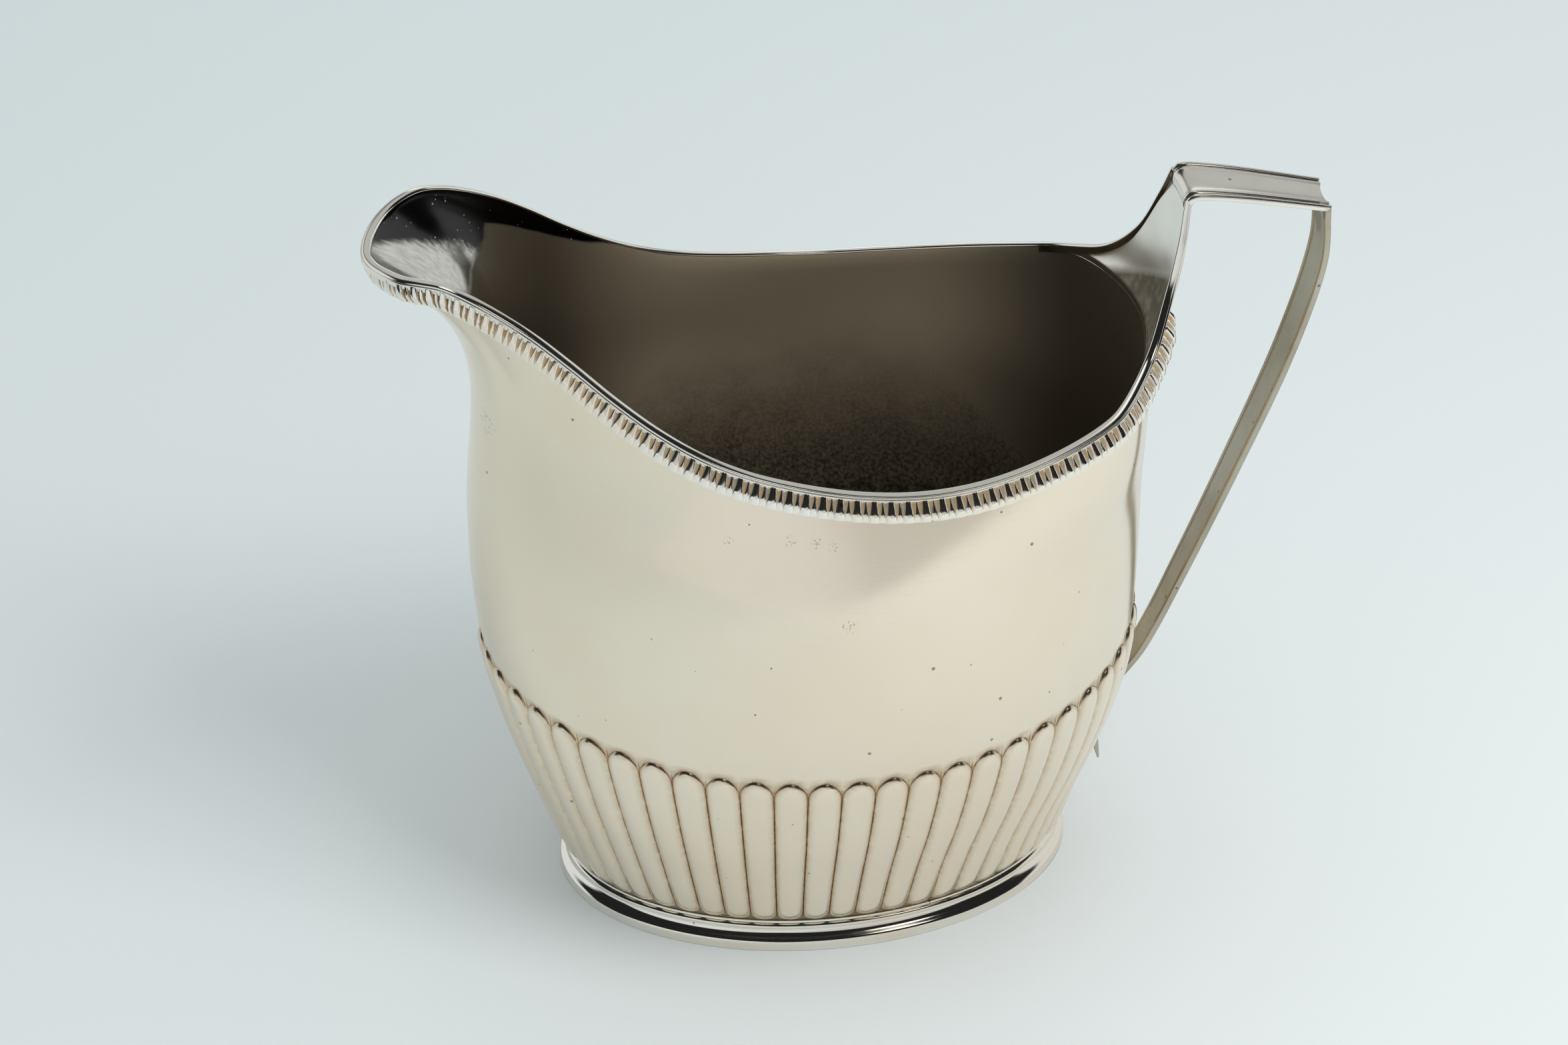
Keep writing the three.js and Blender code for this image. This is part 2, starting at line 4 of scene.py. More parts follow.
import bmesh
import bpy
import numpy as np
from mathutils import Matrix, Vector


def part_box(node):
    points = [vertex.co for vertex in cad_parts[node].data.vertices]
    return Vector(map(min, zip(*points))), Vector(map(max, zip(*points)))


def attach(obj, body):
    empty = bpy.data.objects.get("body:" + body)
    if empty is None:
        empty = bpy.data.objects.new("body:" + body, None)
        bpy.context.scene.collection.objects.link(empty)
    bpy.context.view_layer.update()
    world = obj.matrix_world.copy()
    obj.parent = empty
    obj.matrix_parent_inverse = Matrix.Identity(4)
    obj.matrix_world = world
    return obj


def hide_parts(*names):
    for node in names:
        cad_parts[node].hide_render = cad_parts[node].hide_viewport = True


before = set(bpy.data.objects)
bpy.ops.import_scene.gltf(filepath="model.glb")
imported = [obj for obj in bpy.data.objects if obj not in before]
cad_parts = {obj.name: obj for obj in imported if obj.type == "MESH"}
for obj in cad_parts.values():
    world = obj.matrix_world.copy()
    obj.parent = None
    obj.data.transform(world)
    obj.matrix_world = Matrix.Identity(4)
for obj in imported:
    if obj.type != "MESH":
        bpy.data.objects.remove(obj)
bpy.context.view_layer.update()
scene = bpy.context.scene

# The jug's sizes, in millimetres from the middle of its foot: lip to -X, handle to +X
FOOT_LENGTH, FOOT_WIDTH, FOOT_HEIGHT = 73.0, 50.6, 4.15
BOWL_BASE_INSET, WALL, SOLDER = 1.4, 0.9, 0.25
# Plain bowl: height, reach to the front, reach to the back, half width
BOWL_OVALS = [
    (14, 38.7, 37.9, 27.7),
    (24, 42.3, 41.4, 32.0),
    (34, 45.4, 44.0, 35.3),
    (42, 47.3, 44.9, 36.85),
    (51, 48.5, 45.3, 36.75),
    (60, 48.9, 45.4, 35.8),
]
LOBE_COUNT, LOBE_HEIGHT, LOBE_FULLNESS = 54, 0.86, 2.15
LOBE_ARCH, LOBE_ARCH_ROUND, LOBE_ARCH_DROP = 2.6, 0.75, 0.6
LOBE_LOWER_END, LOBE_TOP_AT_SIDE, LOBE_TOP_RISE = 0.6, 35.5, 4.3
LOBE_LOWER_ROUND, LOBE_UPPER_ROUND = 0.08, 0.066
# Crest of the rim from the back to the tip of the lip: angle, x, y, z
RIM_STATIONS = [
    (0, 45.5, 0, 87.0),
    (25, 41.0, 17.1, 86.0),
    (45, 32.5, 24.2, 83.3),
    (65, 17.0, 29.4, 81.1),
    (85, 1.3, 30.1, 81.5),
    (102, -15.7, 27.3, 85.3),
    (114, -27.1, 23.9, 91.5),
    (131, -41.7, 17.7, 103.4),
    (147, -52.2, 12.7, 109.1),
    (163, -58.8, 7.8, 108.7),
    (180, -61.9, 0, 107.6),
]
SIDE_FLARE, LIP_FLARE, LIP_SHARPNESS, SHOULDER_PULL, RIM_PULL = -22, 60, 4, 0.38, 0.48
WIRE_HEIGHT, WIRE_LEG_SIZE = 1.1, 0.65
BORDER_PITCH, BORDER_HEIGHT, BORDER_START, BORDER_GROWTH, BORDER_TIP_SIZE = 2.25, 2.72, 10, 1.6, 0.6
BORDER_TUCK, BORDER_TOP = 0.45, 0.74
TONGUE_STATIONS = [(42.9, 14.2, 88.4), (46.3, 9.1, 94.3), (48.6, 6.3, 101.5)]
TONGUE_START, TONGUE_FOOT, TONGUE_TOP, SHEET = 34, 31, (49.2, 106.7), 1.0
# Undersides of the handle's two strips, in the jug's middle plane: x, z
BAR_LINE = [(50.1, 103.6), (50.15, 105.0), (50.85, 106.15), (52.6, 106.15), (58.9, 104.9), (69.6, 102.2)]
STRAP_BENDS = [(69.5, 93), (65.6, 78), (58.9, 59.6), (52.0, 42), (47.0, 30.3), (43.25, 24.6)]
BAR_HALF_WIDTH, STRAP_HALF_WIDTH, TAIL_HALF_WIDTH, STRIP_THICKNESS = 4.7, 3.9, 1.8, 0.86
STRAP_SEAT_TOP, STRAP_SEAT_END, TAIL_HEIGHT, TAIL_FLICK = 20, 17.6, 12, 3.2

MM = 0.001
UP = np.array([0.0, 0.0, 1.0])
LIP_WAY = np.array([-1.0, 0.0, 0.0])
NUDGE = 0.01
foot_low, foot_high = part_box("foot_ring")
FOOT_MIDDLE = np.array([(foot_low.x + foot_high.x) / 2, 0, 0])


def unit(vectors):
    return vectors / np.linalg.norm(vectors, axis=-1, keepdims=True)


def moved(points, *steps):
    """Points moved by so much along each of the given directions."""
    total = np.array(points, float)
    for direction, by in steps:
        total = total + direction * np.asarray(by, float)[..., None]
    return total


def smooth(knots, values, where):
    """A smooth value between uneven knots, with slopes taken from the neighbouring knots."""
    knots, values = np.asarray(knots, float), np.asarray(values, float)
    last = len(knots) - 1
    order = np.arange(last + 1)
    before, after = np.maximum(order - 1, 0), np.minimum(order + 1, last)
    slopes = (values[after] - values[before]) / (knots[after] - knots[before])
    i = np.clip(np.searchsorted(knots, where) - 1, 0, last - 1)
    span = knots[i + 1] - knots[i]
    t = (where - knots[i]) / span
    near = values[i] * (1 + 2 * t) + slopes[i] * span * t
    far = values[i + 1] * (3 - 2 * t) + slopes[i + 1] * span * (t - 1)
    return near * (1 - t) ** 2 + far * t**2


def smooth_line(points, count):
    """A dense smooth line through points, with the place of each dense point among them."""
    points = np.asarray(points, float)
    knots = np.concatenate([[0], np.cumsum(np.sqrt(np.linalg.norm(np.diff(points, axis=0), axis=1)))])
    where = np.linspace(0, knots[-1], count)
    line = np.stack([smooth(knots, points[:, k], where) for k in range(3)], -1)
    return line, np.interp(where, knots, np.arange(len(points)))


def along_lengths(line):
    """Share of a line's whole length at each of its points, and that length."""
    steps = np.linalg.norm(np.diff(line, axis=0), axis=1)
    lengths = np.concatenate([[0], np.cumsum(steps)])
    return lengths / lengths[-1], lengths[-1]


# The rim, with its stations carried past both ends by their mirror images
stations = np.array(RIM_STATIONS, float)
mirror = np.array([1.0, -1.0, 1.0])
rim_angles = np.concatenate([[-stations[1, 0]], stations[:, 0], [360 - stations[-2, 0]]])
rim_places = np.concatenate([[stations[1, 1:] * mirror], stations[:, 1:], [stations[-2, 1:] * mirror]])
rim_drop = WIRE_HEIGHT + SOLDER


def rim_point(angle):
    turn = np.degrees(angle) % 360
    side = np.where(turn > 180, -1.0, 1.0)
    where = np.where(turn > 180, 360 - turn, turn)
    x, y, z = (smooth(rim_angles, rim_places[:, k], where) for k in range(3))
    return np.stack([x, side * y, z], -1)


def frame_on(along):
    """Directions away from the bowl and upward, for a line that runs round the rim."""
    across = unit(np.cross(along, UP))
    return across, np.cross(across, along)


def rim_frame(angle):
    along = unit(rim_point(angle + NUDGE) - rim_point(angle - NUDGE))
    return (rim_point(angle), *frame_on(along))


# The bowl: ovals from the foot (level 0) to the shoulder (level 1), then curves up to the rim (level 2)
bowl_base = FOOT_HEIGHT + SOLDER
base_reach, base_side = FOOT_LENGTH / 2 - BOWL_BASE_INSET, FOOT_WIDTH / 2 - BOWL_BASE_INSET
ovals = np.array([(bowl_base, base_reach, base_reach, base_side), *BOWL_OVALS], float)
shoulder = ovals[-1, 0]


def level_of(z):
    return (z - bowl_base) / (shoulder - bowl_base)


def oval_point(angle, z):
    front, back, side = (smooth(ovals[:, 0], ovals[:, k], z) for k in (1, 2, 3))
    reach = np.where(np.cos(angle) < 0, front, back)
    return np.stack([reach * np.cos(angle), side * np.sin(angle), z + 0 * angle], -1)


def bowl(angle, level):
    angle, level = np.broadcast_arrays(np.asarray(angle, float), np.asarray(level, float))
    low = oval_point(angle, bowl_base + np.minimum(level, 1) * (shoulder - bowl_base))
    point, across, out = rim_frame(angle)
    foot = oval_point(angle, np.full_like(angle, shoulder))
    head = moved(point, (across, WALL / 2), (out, -rim_drop))
    leave = unit(foot - oval_point(angle, np.full_like(angle, shoulder - NUDGE)))
    to_lip = ((1 - np.cos(angle)) / 2) ** LIP_SHARPNESS
    flare = np.radians(SIDE_FLARE * np.sin(angle) ** 2 + LIP_FLARE * to_lip)
    height = np.linalg.norm(head - foot, axis=-1)
    pull = RIM_PULL * height
    outward = unit(across + (LIP_WAY - across) * to_lip[..., None])
    near = moved(foot, (leave, SHOULDER_PULL * height))
    far = moved(head, (outward, -pull * np.sin(flare)), (UP, -pull * np.cos(flare)))
    t = np.clip(level - 1, 0, 1)[..., None]
    high = foot * (1 - t) ** 3 + 3 * near * t * (1 - t) ** 2 + 3 * far * t**2 * (1 - t) + head * t**3
    return np.where(level[..., None] <= 1, low, high)


def bowl_normal(angle, level):
    around = bowl(angle + NUDGE, level) - bowl(angle - NUDGE, level)
    rise = bowl(angle, np.minimum(level + NUDGE, 2)) - bowl(angle, np.maximum(level - NUDGE, 0))
    return unit(np.cross(around, rise))


def off_bowl(angle, level, by):
    return moved(bowl(angle, level), (bowl_normal(angle, level), by))


# Angles that share out the bowl's girth evenly at the tops of the lobes
girth_turns = np.linspace(0, math.tau, 1441)
girth_shares, _ = along_lengths(oval_point(girth_turns, np.full_like(girth_turns, LOBE_TOP_AT_SIDE)))

# Edge line: down one side of the handle's root, round the rim and up the other side
RIM_SAMPLES, EDGE_STEPS, EDGE_NUDGE = 48, 4000, 0.0015
# Reach and steps of the rounding where the rim turns up into the root
BEND_REACH, BEND_SPREAD = 11, 30
tongue_head = (TONGUE_TOP[0] + SHEET / 2, BAR_HALF_WIDTH - SOLDER, TONGUE_TOP[1] - SOLDER)
tongue_side = np.array([tongue_head, *reversed(TONGUE_STATIONS)])
rim_turns = np.radians(np.linspace(TONGUE_START, 360 - TONGUE_START, RIM_SAMPLES + 1))
edge_points = np.concatenate([tongue_side, rim_point(rim_turns), (tongue_side * mirror)[::-1]])


def eased(line, places, reach, spread):
    """A line with its bends at the given places rounded off."""
    steps = np.arange(-4 * spread, 4 * spread + 1)
    weights = np.exp(-0.5 * (steps / spread) ** 2)
    padded = np.pad(line, ((4 * spread, 4 * spread), (0, 0)), mode="edge")
    soft = np.stack([np.convolve(padded[:, k], weights / weights.sum(), "valid") for k in range(3)], -1)
    gaps = np.min([np.linalg.norm(line - place, axis=1) for place in places], axis=0)
    share = np.clip(1 - gaps / reach, 0, 1)[:, None]
    return line + (soft - line) * share * share * (3 - 2 * share)


edge_line, edge_stations = smooth_line(edge_points, EDGE_STEPS)
edge_line = eased(edge_line, [rim_point(rim_turns[0]), rim_point(rim_turns[-1])], BEND_REACH, BEND_SPREAD)
edge_shares, edge_length = along_lengths(edge_line)


def edge_point(share):
    return np.stack([np.interp(share, edge_shares, edge_line[:, k]) for k in range(3)], -1)


def edge_frame(share):
    after, before = np.minimum(share + EDGE_NUDGE, 1), np.maximum(share - EDGE_NUDGE, 0)
    along = unit(edge_point(after) - edge_point(before))
    return (edge_point(share), along, *frame_on(along))


def edge_angle(share):
    station = np.interp(share, edge_shares, edge_stations) - len(tongue_side)
    return np.radians(TONGUE_START + (360 - 2 * TONGUE_START) * station / RIM_SAMPLES)


def leg_share(half_width):
    return edge_shares[np.argmax(edge_line[:, 1] > half_width)]


leg_end = leg_share(rim_point(np.radians(TONGUE_START))[1] - SOLDER)


def wire_size(share):
    """Size of the wire's section: full on the rim, and thinner up the two legs."""
    return WIRE_LEG_SIZE + (1 - WIRE_LEG_SIZE) * np.minimum(np.minimum(share, 1 - share) / leg_end, 1)


# Making of pieces

def piece_of(name, points, faces, edges=(), **attributes):
    """A piece from points in millimetres, with its own values on its points."""
    mesh = bpy.data.meshes.new(name)
    mesh.from_pydata(np.asarray(points, float) * MM + FOOT_MIDDLE, list(edges), list(faces))
    for label, values in attributes.items():
        values = np.asarray(values, np.float32)
        kind = "FLOAT_VECTOR" if values.ndim == 2 else "FLOAT"
        layer = mesh.attributes.new(label, kind, "POINT")
        layer.data.foreach_set("vector" if values.ndim == 2 else "value", values.ravel())
    piece = bpy.data.objects.new(name, mesh)
    scene.collection.objects.link(piece)
    return piece


def lofted(name, sections, **attributes):
    """A skin through a row of closed sections with as many points each, closed at both ends."""
    rings, count = sections.shape[:2]
    faces = []
    for a in range(0, (rings - 1) * count, count):
        for j in range(count):
            k = (j + 1) % count
            faces.append((a + j, a + k, a + count + k, a + count + j))
    faces += [tuple(range(count))[::-1], tuple(range((rings - 1) * count, rings * count))]
    return piece_of(name, sections.reshape(-1, 3), faces, **attributes)


def line_piece(name, points, closed, **attributes):
    count = len(points)
    edges = [(i, (i + 1) % count) for i in range(count if closed else count - 1)]
    return piece_of(name, points, [], edges, **attributes)


def run_tree(piece, tree, values):
    """Lets a node tree make the piece, and keeps the result as a plain mesh."""
    modifier = piece.modifiers.new(tree.name, "NODES")
    modifier.node_group = tree
    names = {s.name: s.identifier for s in tree.interface.items_tree if s.in_out == "INPUT"}
    for label, value in values.items():
        modifier[names[label]] = value
    bpy.context.view_layer.update()
    made = piece.evaluated_get(bpy.context.evaluated_depsgraph_get())
    mesh = bpy.data.meshes.new_from_object(made)
    piece.modifiers.clear()
    line = piece.data
    piece.data = mesh
    bpy.data.meshes.remove(line)
    mesh.name = piece.name


def finished(piece, node, sharp=50):
    """Turns a piece's faces outward, keeps its sharp corners and sets it on the jug in place of its solid."""
    shape = bmesh.new()
    shape.from_mesh(piece.data)
    bmesh.ops.recalc_face_normals(shape, faces=shape.faces)
    shape.to_mesh(piece.data)
    shape.free()
    piece.data.shade_smooth()
    piece.data.set_sharp_from_angle(angle=math.radians(sharp))
    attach(piece, "root")
    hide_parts(node)


# Node trees

def fill(node, inputs):
    for key, value in inputs.items():
        if isinstance(value, bpy.types.NodeSocket):
            node.id_data.links.new(value, node.inputs[key])
        else:
            node.inputs[key].default_value = value
    return node


def put(tree, kind, inputs, **settings):
    """Adds a node with its settings, and fills its inputs with values or with other nodes' outputs."""
    node = tree.nodes.new(kind)
    for key, value in settings.items():
        setattr(node, key, value)
    return fill(node, inputs)


def calc(how, *values):
    """Reckons with values, of which at least one is a node's output."""
    tree = next(value.id_data for value in values if isinstance(value, bpy.types.NodeSocket))
    return put(tree, "ShaderNodeMath", dict(enumerate(values)), operation=how).outputs[0]


def times(first, *others):
    for value in others:
        first = calc("MULTIPLY", first, value)
    return first


times_plus, minus, most = (partial(calc, how) for how in ("MULTIPLY_ADD", "SUBTRACT", "MAXIMUM"))


def ramp(value, low, high, start=0.0, end=1.0):
    """A soft step from start to end, while the value goes from low to high."""
    inputs = {"Value": value, "From Min": low, "From Max": high, "To Min": start, "To Max": end}
    return put(value.id_data, "ShaderNodeMapRange", inputs, interpolation_type="SMOOTHSTEP").outputs[0]


# Kinds of the trees' inputs and outputs that are not plain numbers
SOCKET_KINDS = {"Geometry": "Geometry", "Vector": "Vector", "Middle": "Vector", "Section": "Object",
                "Outside": "Material", "Inside": "Material", "Silver": "Material"}


def group_of(name, inputs, outputs):
    kind = "GeometryNodeTree" if "Geometry" in inputs else "ShaderNodeTree"
    tree = bpy.data.node_groups.new(name, kind)
    for way, labels in (("INPUT", inputs), ("OUTPUT", outputs)):
        for label in labels:
            socket = "NodeSocket" + SOCKET_KINDS.get(label, "Float")
            tree.interface.new_socket(label, in_out=way, socket_type=socket)
    return tree, tree.nodes.new("NodeGroupInput").outputs, tree.nodes.new("NodeGroupOutput")


def value_on(tree, label, kind="FLOAT"):
    return put(tree, "GeometryNodeInputNamedAttribute", {"Name": label}, data_type=kind).outputs[0]


def pushed(geometry, direction, by):
    """Points moved by so much along a direction."""
    tree = geometry.id_data
    offset = put(tree, "ShaderNodeVectorMath", {0: direction, "Scale": by}, operation="SCALE").outputs[0]
    return put(tree, "GeometryNodeSetPosition", {"Geometry": geometry, "Offset": offset}).outputs[0]


def with_recess(geometry, hollow):
    """Keeps on the points how deep they lie in a hollow, for the finishes."""
    inputs = {"Geometry": geometry, "Name": "recess", "Value": hollow}
    return put(geometry.id_data, "GeometryNodeStoreNamedAttribute", inputs).outputs[0]


def dressed(geometry, material):
    tree = geometry.id_data
    plain = put(tree, "GeometryNodeRealizeInstances", {"Geometry": geometry}).outputs[0]
    return put(tree, "GeometryNodeSetMaterial", {"Geometry": plain, "Material": material}).outputs[0]


def half_round(value, power=2):
    """Height of a quarter circle, for a value from 0 at its crest to 1 at its foot."""
    return calc("SQRT", most(minus(1, calc("POWER", value, power)), 0))


def lobes_tree():
    """Raises the lobes on the plain bowl, outside and inside."""
    inputs = ["Geometry", "Lobe Height", "Fullness", "Lower Round", "Upper Round", "Outside", "Inside"]
    tree, given, result = group_of("raised_lobes", inputs, ["Geometry"])
    place, share, gain = (value_on(tree, label) for label in ("lobe_place", "lobe_share", "lobe_gain"))
    dome = half_round(calc("ABSOLUTE", place), given["Fullness"])
    ends = ((share, given["Lower Round"]), (minus(1, share), given["Upper Round"]))
    low, high = (most(minus(1, calc("DIVIDE", gap, reach)), 0) for gap, reach in ends)
    rise = times(half_round(low), half_round(high), dome)
    lift = times(rise, gain, given["Lobe Height"])
    normal = put(tree, "GeometryNodeInputNormal", {}).outputs[0]
    raised = pushed(given["Geometry"], normal, lift)
    hollow = times(minus(1, rise), calc("ABSOLUTE", gain))
    skin = dressed(with_recess(raised, hollow), given["Outside"])
    inner = calc("GREATER_THAN", value_on(tree, "inside"), 0.5)
    lined = put(tree, "GeometryNodeSetMaterial",
                {"Geometry": skin, "Selection": inner, "Material": given["Inside"]})
    fill(result, {0: lined.outputs[0]})
    return tree


# At the lip the grooves' taper, width, depth and stain change by these factors; past full, the stain turns to painted
# shade in the deepest grooves
LIP_TAPER, LIP_WIDTH, LIP_DEPTH, LIP_STAIN_AND_SHADE = 0.3, 0.6, 1.9, 1.6
# How a groove narrows downward, its least width, and where and to what its stain fades
GROOVE_TAPER, GROOVE_LEAST, GROOVE_FADE, GROOVE_END_STAIN = 1.6, 0.001, (0.25, 0.95), 0.25


def gadroon_tree():
    """Sinks the border's pairs of tapered grooves into a rounded band, and leaves convex lobes between them."""
    inputs = ["Geometry", "Groove Depth", "Groove Half Width", "Groove Offset", "Lobe Bulge", "Silver"]
    tree, given, result = group_of("gadroon_units", inputs, ["Geometry"])
    turn = calc("FRACT", value_on(tree, "unit_turn"))
    down, size, at_lip = (value_on(tree, label) for label in ("down", "size", "at_lip"))
    slow, slim, deep, stain_and_shade_gain = (ramp(at_lip, 0, 1, 1, k) for k in (LIP_TAPER, LIP_WIDTH, LIP_DEPTH, LIP_STAIN_AND_SHADE))
    reach = calc("POWER", most(down, 0), GROOVE_TAPER)
    taper = most(minus(1, times(reach, slow)), GROOVE_LEAST)
    half = times(given["Groove Half Width"], taper, slim)
    from_middle = calc("ABSOLUTE", minus(turn, 0.5))
    aside = calc("DIVIDE", minus(from_middle, given["Groove Offset"]), half)
    groove = most(minus(1, calc("POWER", aside, 2)), 0)
    depth = times(given["Groove Depth"], deep)
    sunk = times(groove, taper, depth)
    wave = times(calc("COSINE", times(turn, math.tau)), given["Lobe Bulge"])
    front = calc("GREATER_THAN", down, -0.5)
    lift = times(minus(wave, sunk), front, size)
    raised = pushed(given["Geometry"], value_on(tree, "outward", "FLOAT_VECTOR"), lift)
    lower = most(ramp(down, *GROOVE_FADE, 1, GROOVE_END_STAIN), at_lip)
    hollow = times(groove, lower, stain_and_shade_gain)
    fill(result, {0: dressed(with_recess(raised, hollow), given["Silver"])})
    return tree


def moulding_tree():
    """Draws a section along a line, as a drawn wire or a moulded ring."""
    tree, given, result = group_of("drawn_moulding", ["Geometry", "Section", "Silver"], ["Geometry"])
    line = put(tree, "GeometryNodeMeshToCurve", {0: given["Geometry"]})
    upright = put(tree, "GeometryNodeSetCurveNormal", {"Curve": line.outputs[0]}, mode="Z_UP")
    info = put(tree, "GeometryNodeObjectInfo", {"Object": given["Section"]})
    section = put(tree, "GeometryNodeMeshToCurve", {0: info.outputs["Geometry"]})
    swept = put(tree, "GeometryNodeCurveToMesh",
                {"Curve": upright.outputs[0], "Profile Curve": section.outputs[0],
                 "Scale": value_on(tree, "section_size"), "Fill Caps": True})
    fill(result, {0: dressed(swept.outputs[0], given["Silver"])})
    return tree


# Finishes

def noise(vector, scale, detail=3.0, rough=0.55):
    inputs = {"Vector": vector, "Scale": scale, "Detail": detail, "Roughness": rough}
    return put(vector.id_data, "ShaderNodeTexNoise", inputs).outputs[0]


def stretched(vector, scale, turn=(0, 0, 0)):
    inputs = {"Vector": vector, "Rotation": turn, "Scale": scale}
    return put(vector.id_data, "ShaderNodeMapping", inputs).outputs[0]


def blend(share, low, high):
    return put(share.id_data, "ShaderNodeMix", {0: share, 6: low, 7: high}, data_type="RGBA").outputs[2]


# Stretch of level and slanted lines, and the noise values over which lines and clouds fade in
LEVEL_STRETCH, SLANT_STRETCH, SLANT_TURN = (160, 160, 5200), (3800, 3800, 170), (0.5, 0.35, 0.2)
LEVEL_FADE, SLANT_FADE, SLANT_SHARE, CLOUD_FADE = (0.52, 0.72), (0.6, 0.78), 0.6, (0.35, 0.68)
# Specks: spread and least of their radius, and where their edge begins
SPECK_SPREAD, SPECK_LEAST, SPECK_EDGE = 0.22, 0.08, 0.6
# Grain of tarnish and painted shade, and of patches, and what they fade over
STAIN_GRAIN, STAIN_FADE, PATCH_GRAIN, PATCH_LEAST, PATCH_EDGE = 700.0, (0.28, 0.6), 420.0, 0.55, 0.5


def polish_group():
    """Fine lines that polishing leaves, and the cloudy film between them."""
    tree, given, result = group_of("polish_marks", ["Vector", "Cloud Scale"], ["Lines", "Clouds"])
    vector = given["Vector"]
    level = noise(stretched(vector, LEVEL_STRETCH), 1.0, 2.0)
    slant = noise(stretched(vector, SLANT_STRETCH, SLANT_TURN), 1.0, 2.0)
    lines = calc("ADD", ramp(level, *LEVEL_FADE), times(ramp(slant, *SLANT_FADE), SLANT_SHARE))
    broad = noise(vector, given["Cloud Scale"], 4.0)
    fill(result, {"Lines": lines, "Clouds": ramp(broad, *CLOUD_FADE)})
    return tree


def speck_group():
    """Scattered small round specks: dust, pits and spots of tarnish."""
    tree, given, result = group_of("specks", ["Vector", "Scale", "Cover"], ["Mask"])
    cells = put(tree, "ShaderNodeTexVoronoi", {"Vector": given["Vector"], "Scale": given["Scale"]})
    split = put(tree, "ShaderNodeSeparateColor", {0: cells.outputs["Color"]})
    kept = calc("LESS_THAN", split.outputs[0], given["Cover"])
    radius = times_plus(split.outputs[1], SPECK_SPREAD, SPECK_LEAST)
    spot = ramp(calc("DIVIDE", cells.outputs["Distance"], radius), SPECK_EDGE, 1.0, 1, 0)
    fill(result, {"Mask": times(spot, kept)})
    return tree


def stain_group():
    """Brown tarnish in hollows, with painted shade on the lobes and the root's front, broken up like a film."""
    tree, given, result = group_of("hollow_stain", ["Vector", "Recess", "From", "To", "Least"], ["Mask"])
    break_up = noise(given["Vector"], STAIN_GRAIN)
    deep = put(tree, "ShaderNodeMapRange",
               {"Value": given["Recess"], "From Min": given["From"], "From Max": given["To"]}).outputs[0]
    fill(result, {"Mask": times(deep, ramp(break_up, *STAIN_FADE, given["Least"], 1))})
    return tree


def patch_group():
    """A soft patch round one place on the surface."""
    tree, given, result = group_of("patch", ["Vector", "Middle", "Radius"], ["Mask"])
    gap = put(tree, "ShaderNodeVectorMath", {0: given["Vector"], 1: given["Middle"]}, operation="DISTANCE")
    wobble = noise(given["Vector"], PATCH_GRAIN)
    reach = times(given["Radius"], calc("ADD", PATCH_LEAST, wobble))
    share = calc("DIVIDE", gap.outputs["Value"], reach)
    fill(result, {"Mask": ramp(share, PATCH_EDGE, 1.0, 1, 0)})
    return tree


polish_marks, specks, hollow_stain, patch = polish_group(), speck_group(), stain_group(), patch_group()


def placed(group, vector, inputs):
    node = put(vector.id_data, "ShaderNodeGroup", {}, node_tree=group)
    return fill(node, {"Vector": vector, **inputs}).outputs


def new_finish(name, metal=1.0):
    material = bpy.data.materials.new(name)
    material.use_nodes = True
    tree = material.node_tree
    shader = tree.nodes["Principled BSDF"]
    shader.inputs["Metallic"].default_value = metal
    where = put(tree, "ShaderNodeTexCoord", {}).outputs["Object"]
    return material, tree, shader, where


def fine_lines(shader, lines, strength):
    inputs = {"Strength": strength, "Distance": LINE_DEPTH, "Height": lines}
    bump = put(shader.id_data, "ShaderNodeBump", inputs)
    fill(shader, {"Normal": bump.outputs[0]})


LINE_DEPTH = 0.0001
SILVER = (0.885, 0.79, 0.65, 1)
DULL_SILVER = (0.85, 0.73, 0.565, 1)
CLEAR_SILVER = (0.88, 0.85, 0.78, 1)
CLEAR_FILM = (0.76, 0.71, 0.62, 1)
PALE_SILVER = (0.97, 0.93, 0.85, 1)
WARM_STAIN = (0.52, 0.30, 0.12, 1)
# Dark spots and worn grains, and painted shade in the deepest grooves
DARK_STAIN_AND_SHADE = (0.10, 0.065, 0.035, 1)
LINING = (0.62, 0.505, 0.35, 1)
LINING_DARK = (0.055, 0.041, 0.024, 1)
# Tarnish at the lobes' grooves, and painted shade over the lobes' flanks
LOBE_TARNISH_AND_SHADE = (0.45, 0.31, 0.17, 1)
GROOVE_STAIN = (0.52, 0.35, 0.165, 1)
# Painted brown shade low on the root's front
ROOT_PAINTED_SHADE = (0.20, 0.16, 0.105, 1)
# Strap colours: darkened by painted shade, with the cloudy film between them
STRAP_SHADED = (0.52, 0.475, 0.39, 1)
STRAP_SHADED_FILM = (0.34, 0.285, 0.20, 1)
# Worn places on the bowl: middle, radius, strength, and fullness between the grains
BODY_MARKS = [
    ((-0.0060, -0.0352, 0.0634), 0.0013, 0.6, 0), ((-0.0218, -0.0296, 0.0755), 0.0009, 0.6, 0),
    ((-0.0137, -0.0311, 0.0754), 0.0010, 0.6, 0), ((-0.0100, -0.0316, 0.0751), 0.0011, 0.7, 0),
    ((-0.0079, -0.0320, 0.0746), 0.0009, 0.7, 0), ((-0.0511, -0.0063, 0.0824), 0.0026, 0.45, 0),
]
# Dark spots on the lining
LINING_MARKS = [((-0.0073, 0.0347, 0.0517), 0.0011, 0.9), ((0.0135, 0.0307, 0.0665), 0.0009, 0.5)]
# Dark solder pits at the handle's outer corner
CORNER_PITS = [
    ((0.0659, -0.0031, 0.1024), 0.0010, 1.0, 0.8), ((0.0662, -0.0029, 0.1010), 0.0010, 1.0, 0.8),
    ((0.0660, 0.0007, 0.0985), 0.0026, 0.75, 0.6), ((0.0595, -0.0010, 0.0800), 0.0045, 0.4, 0.2),
]
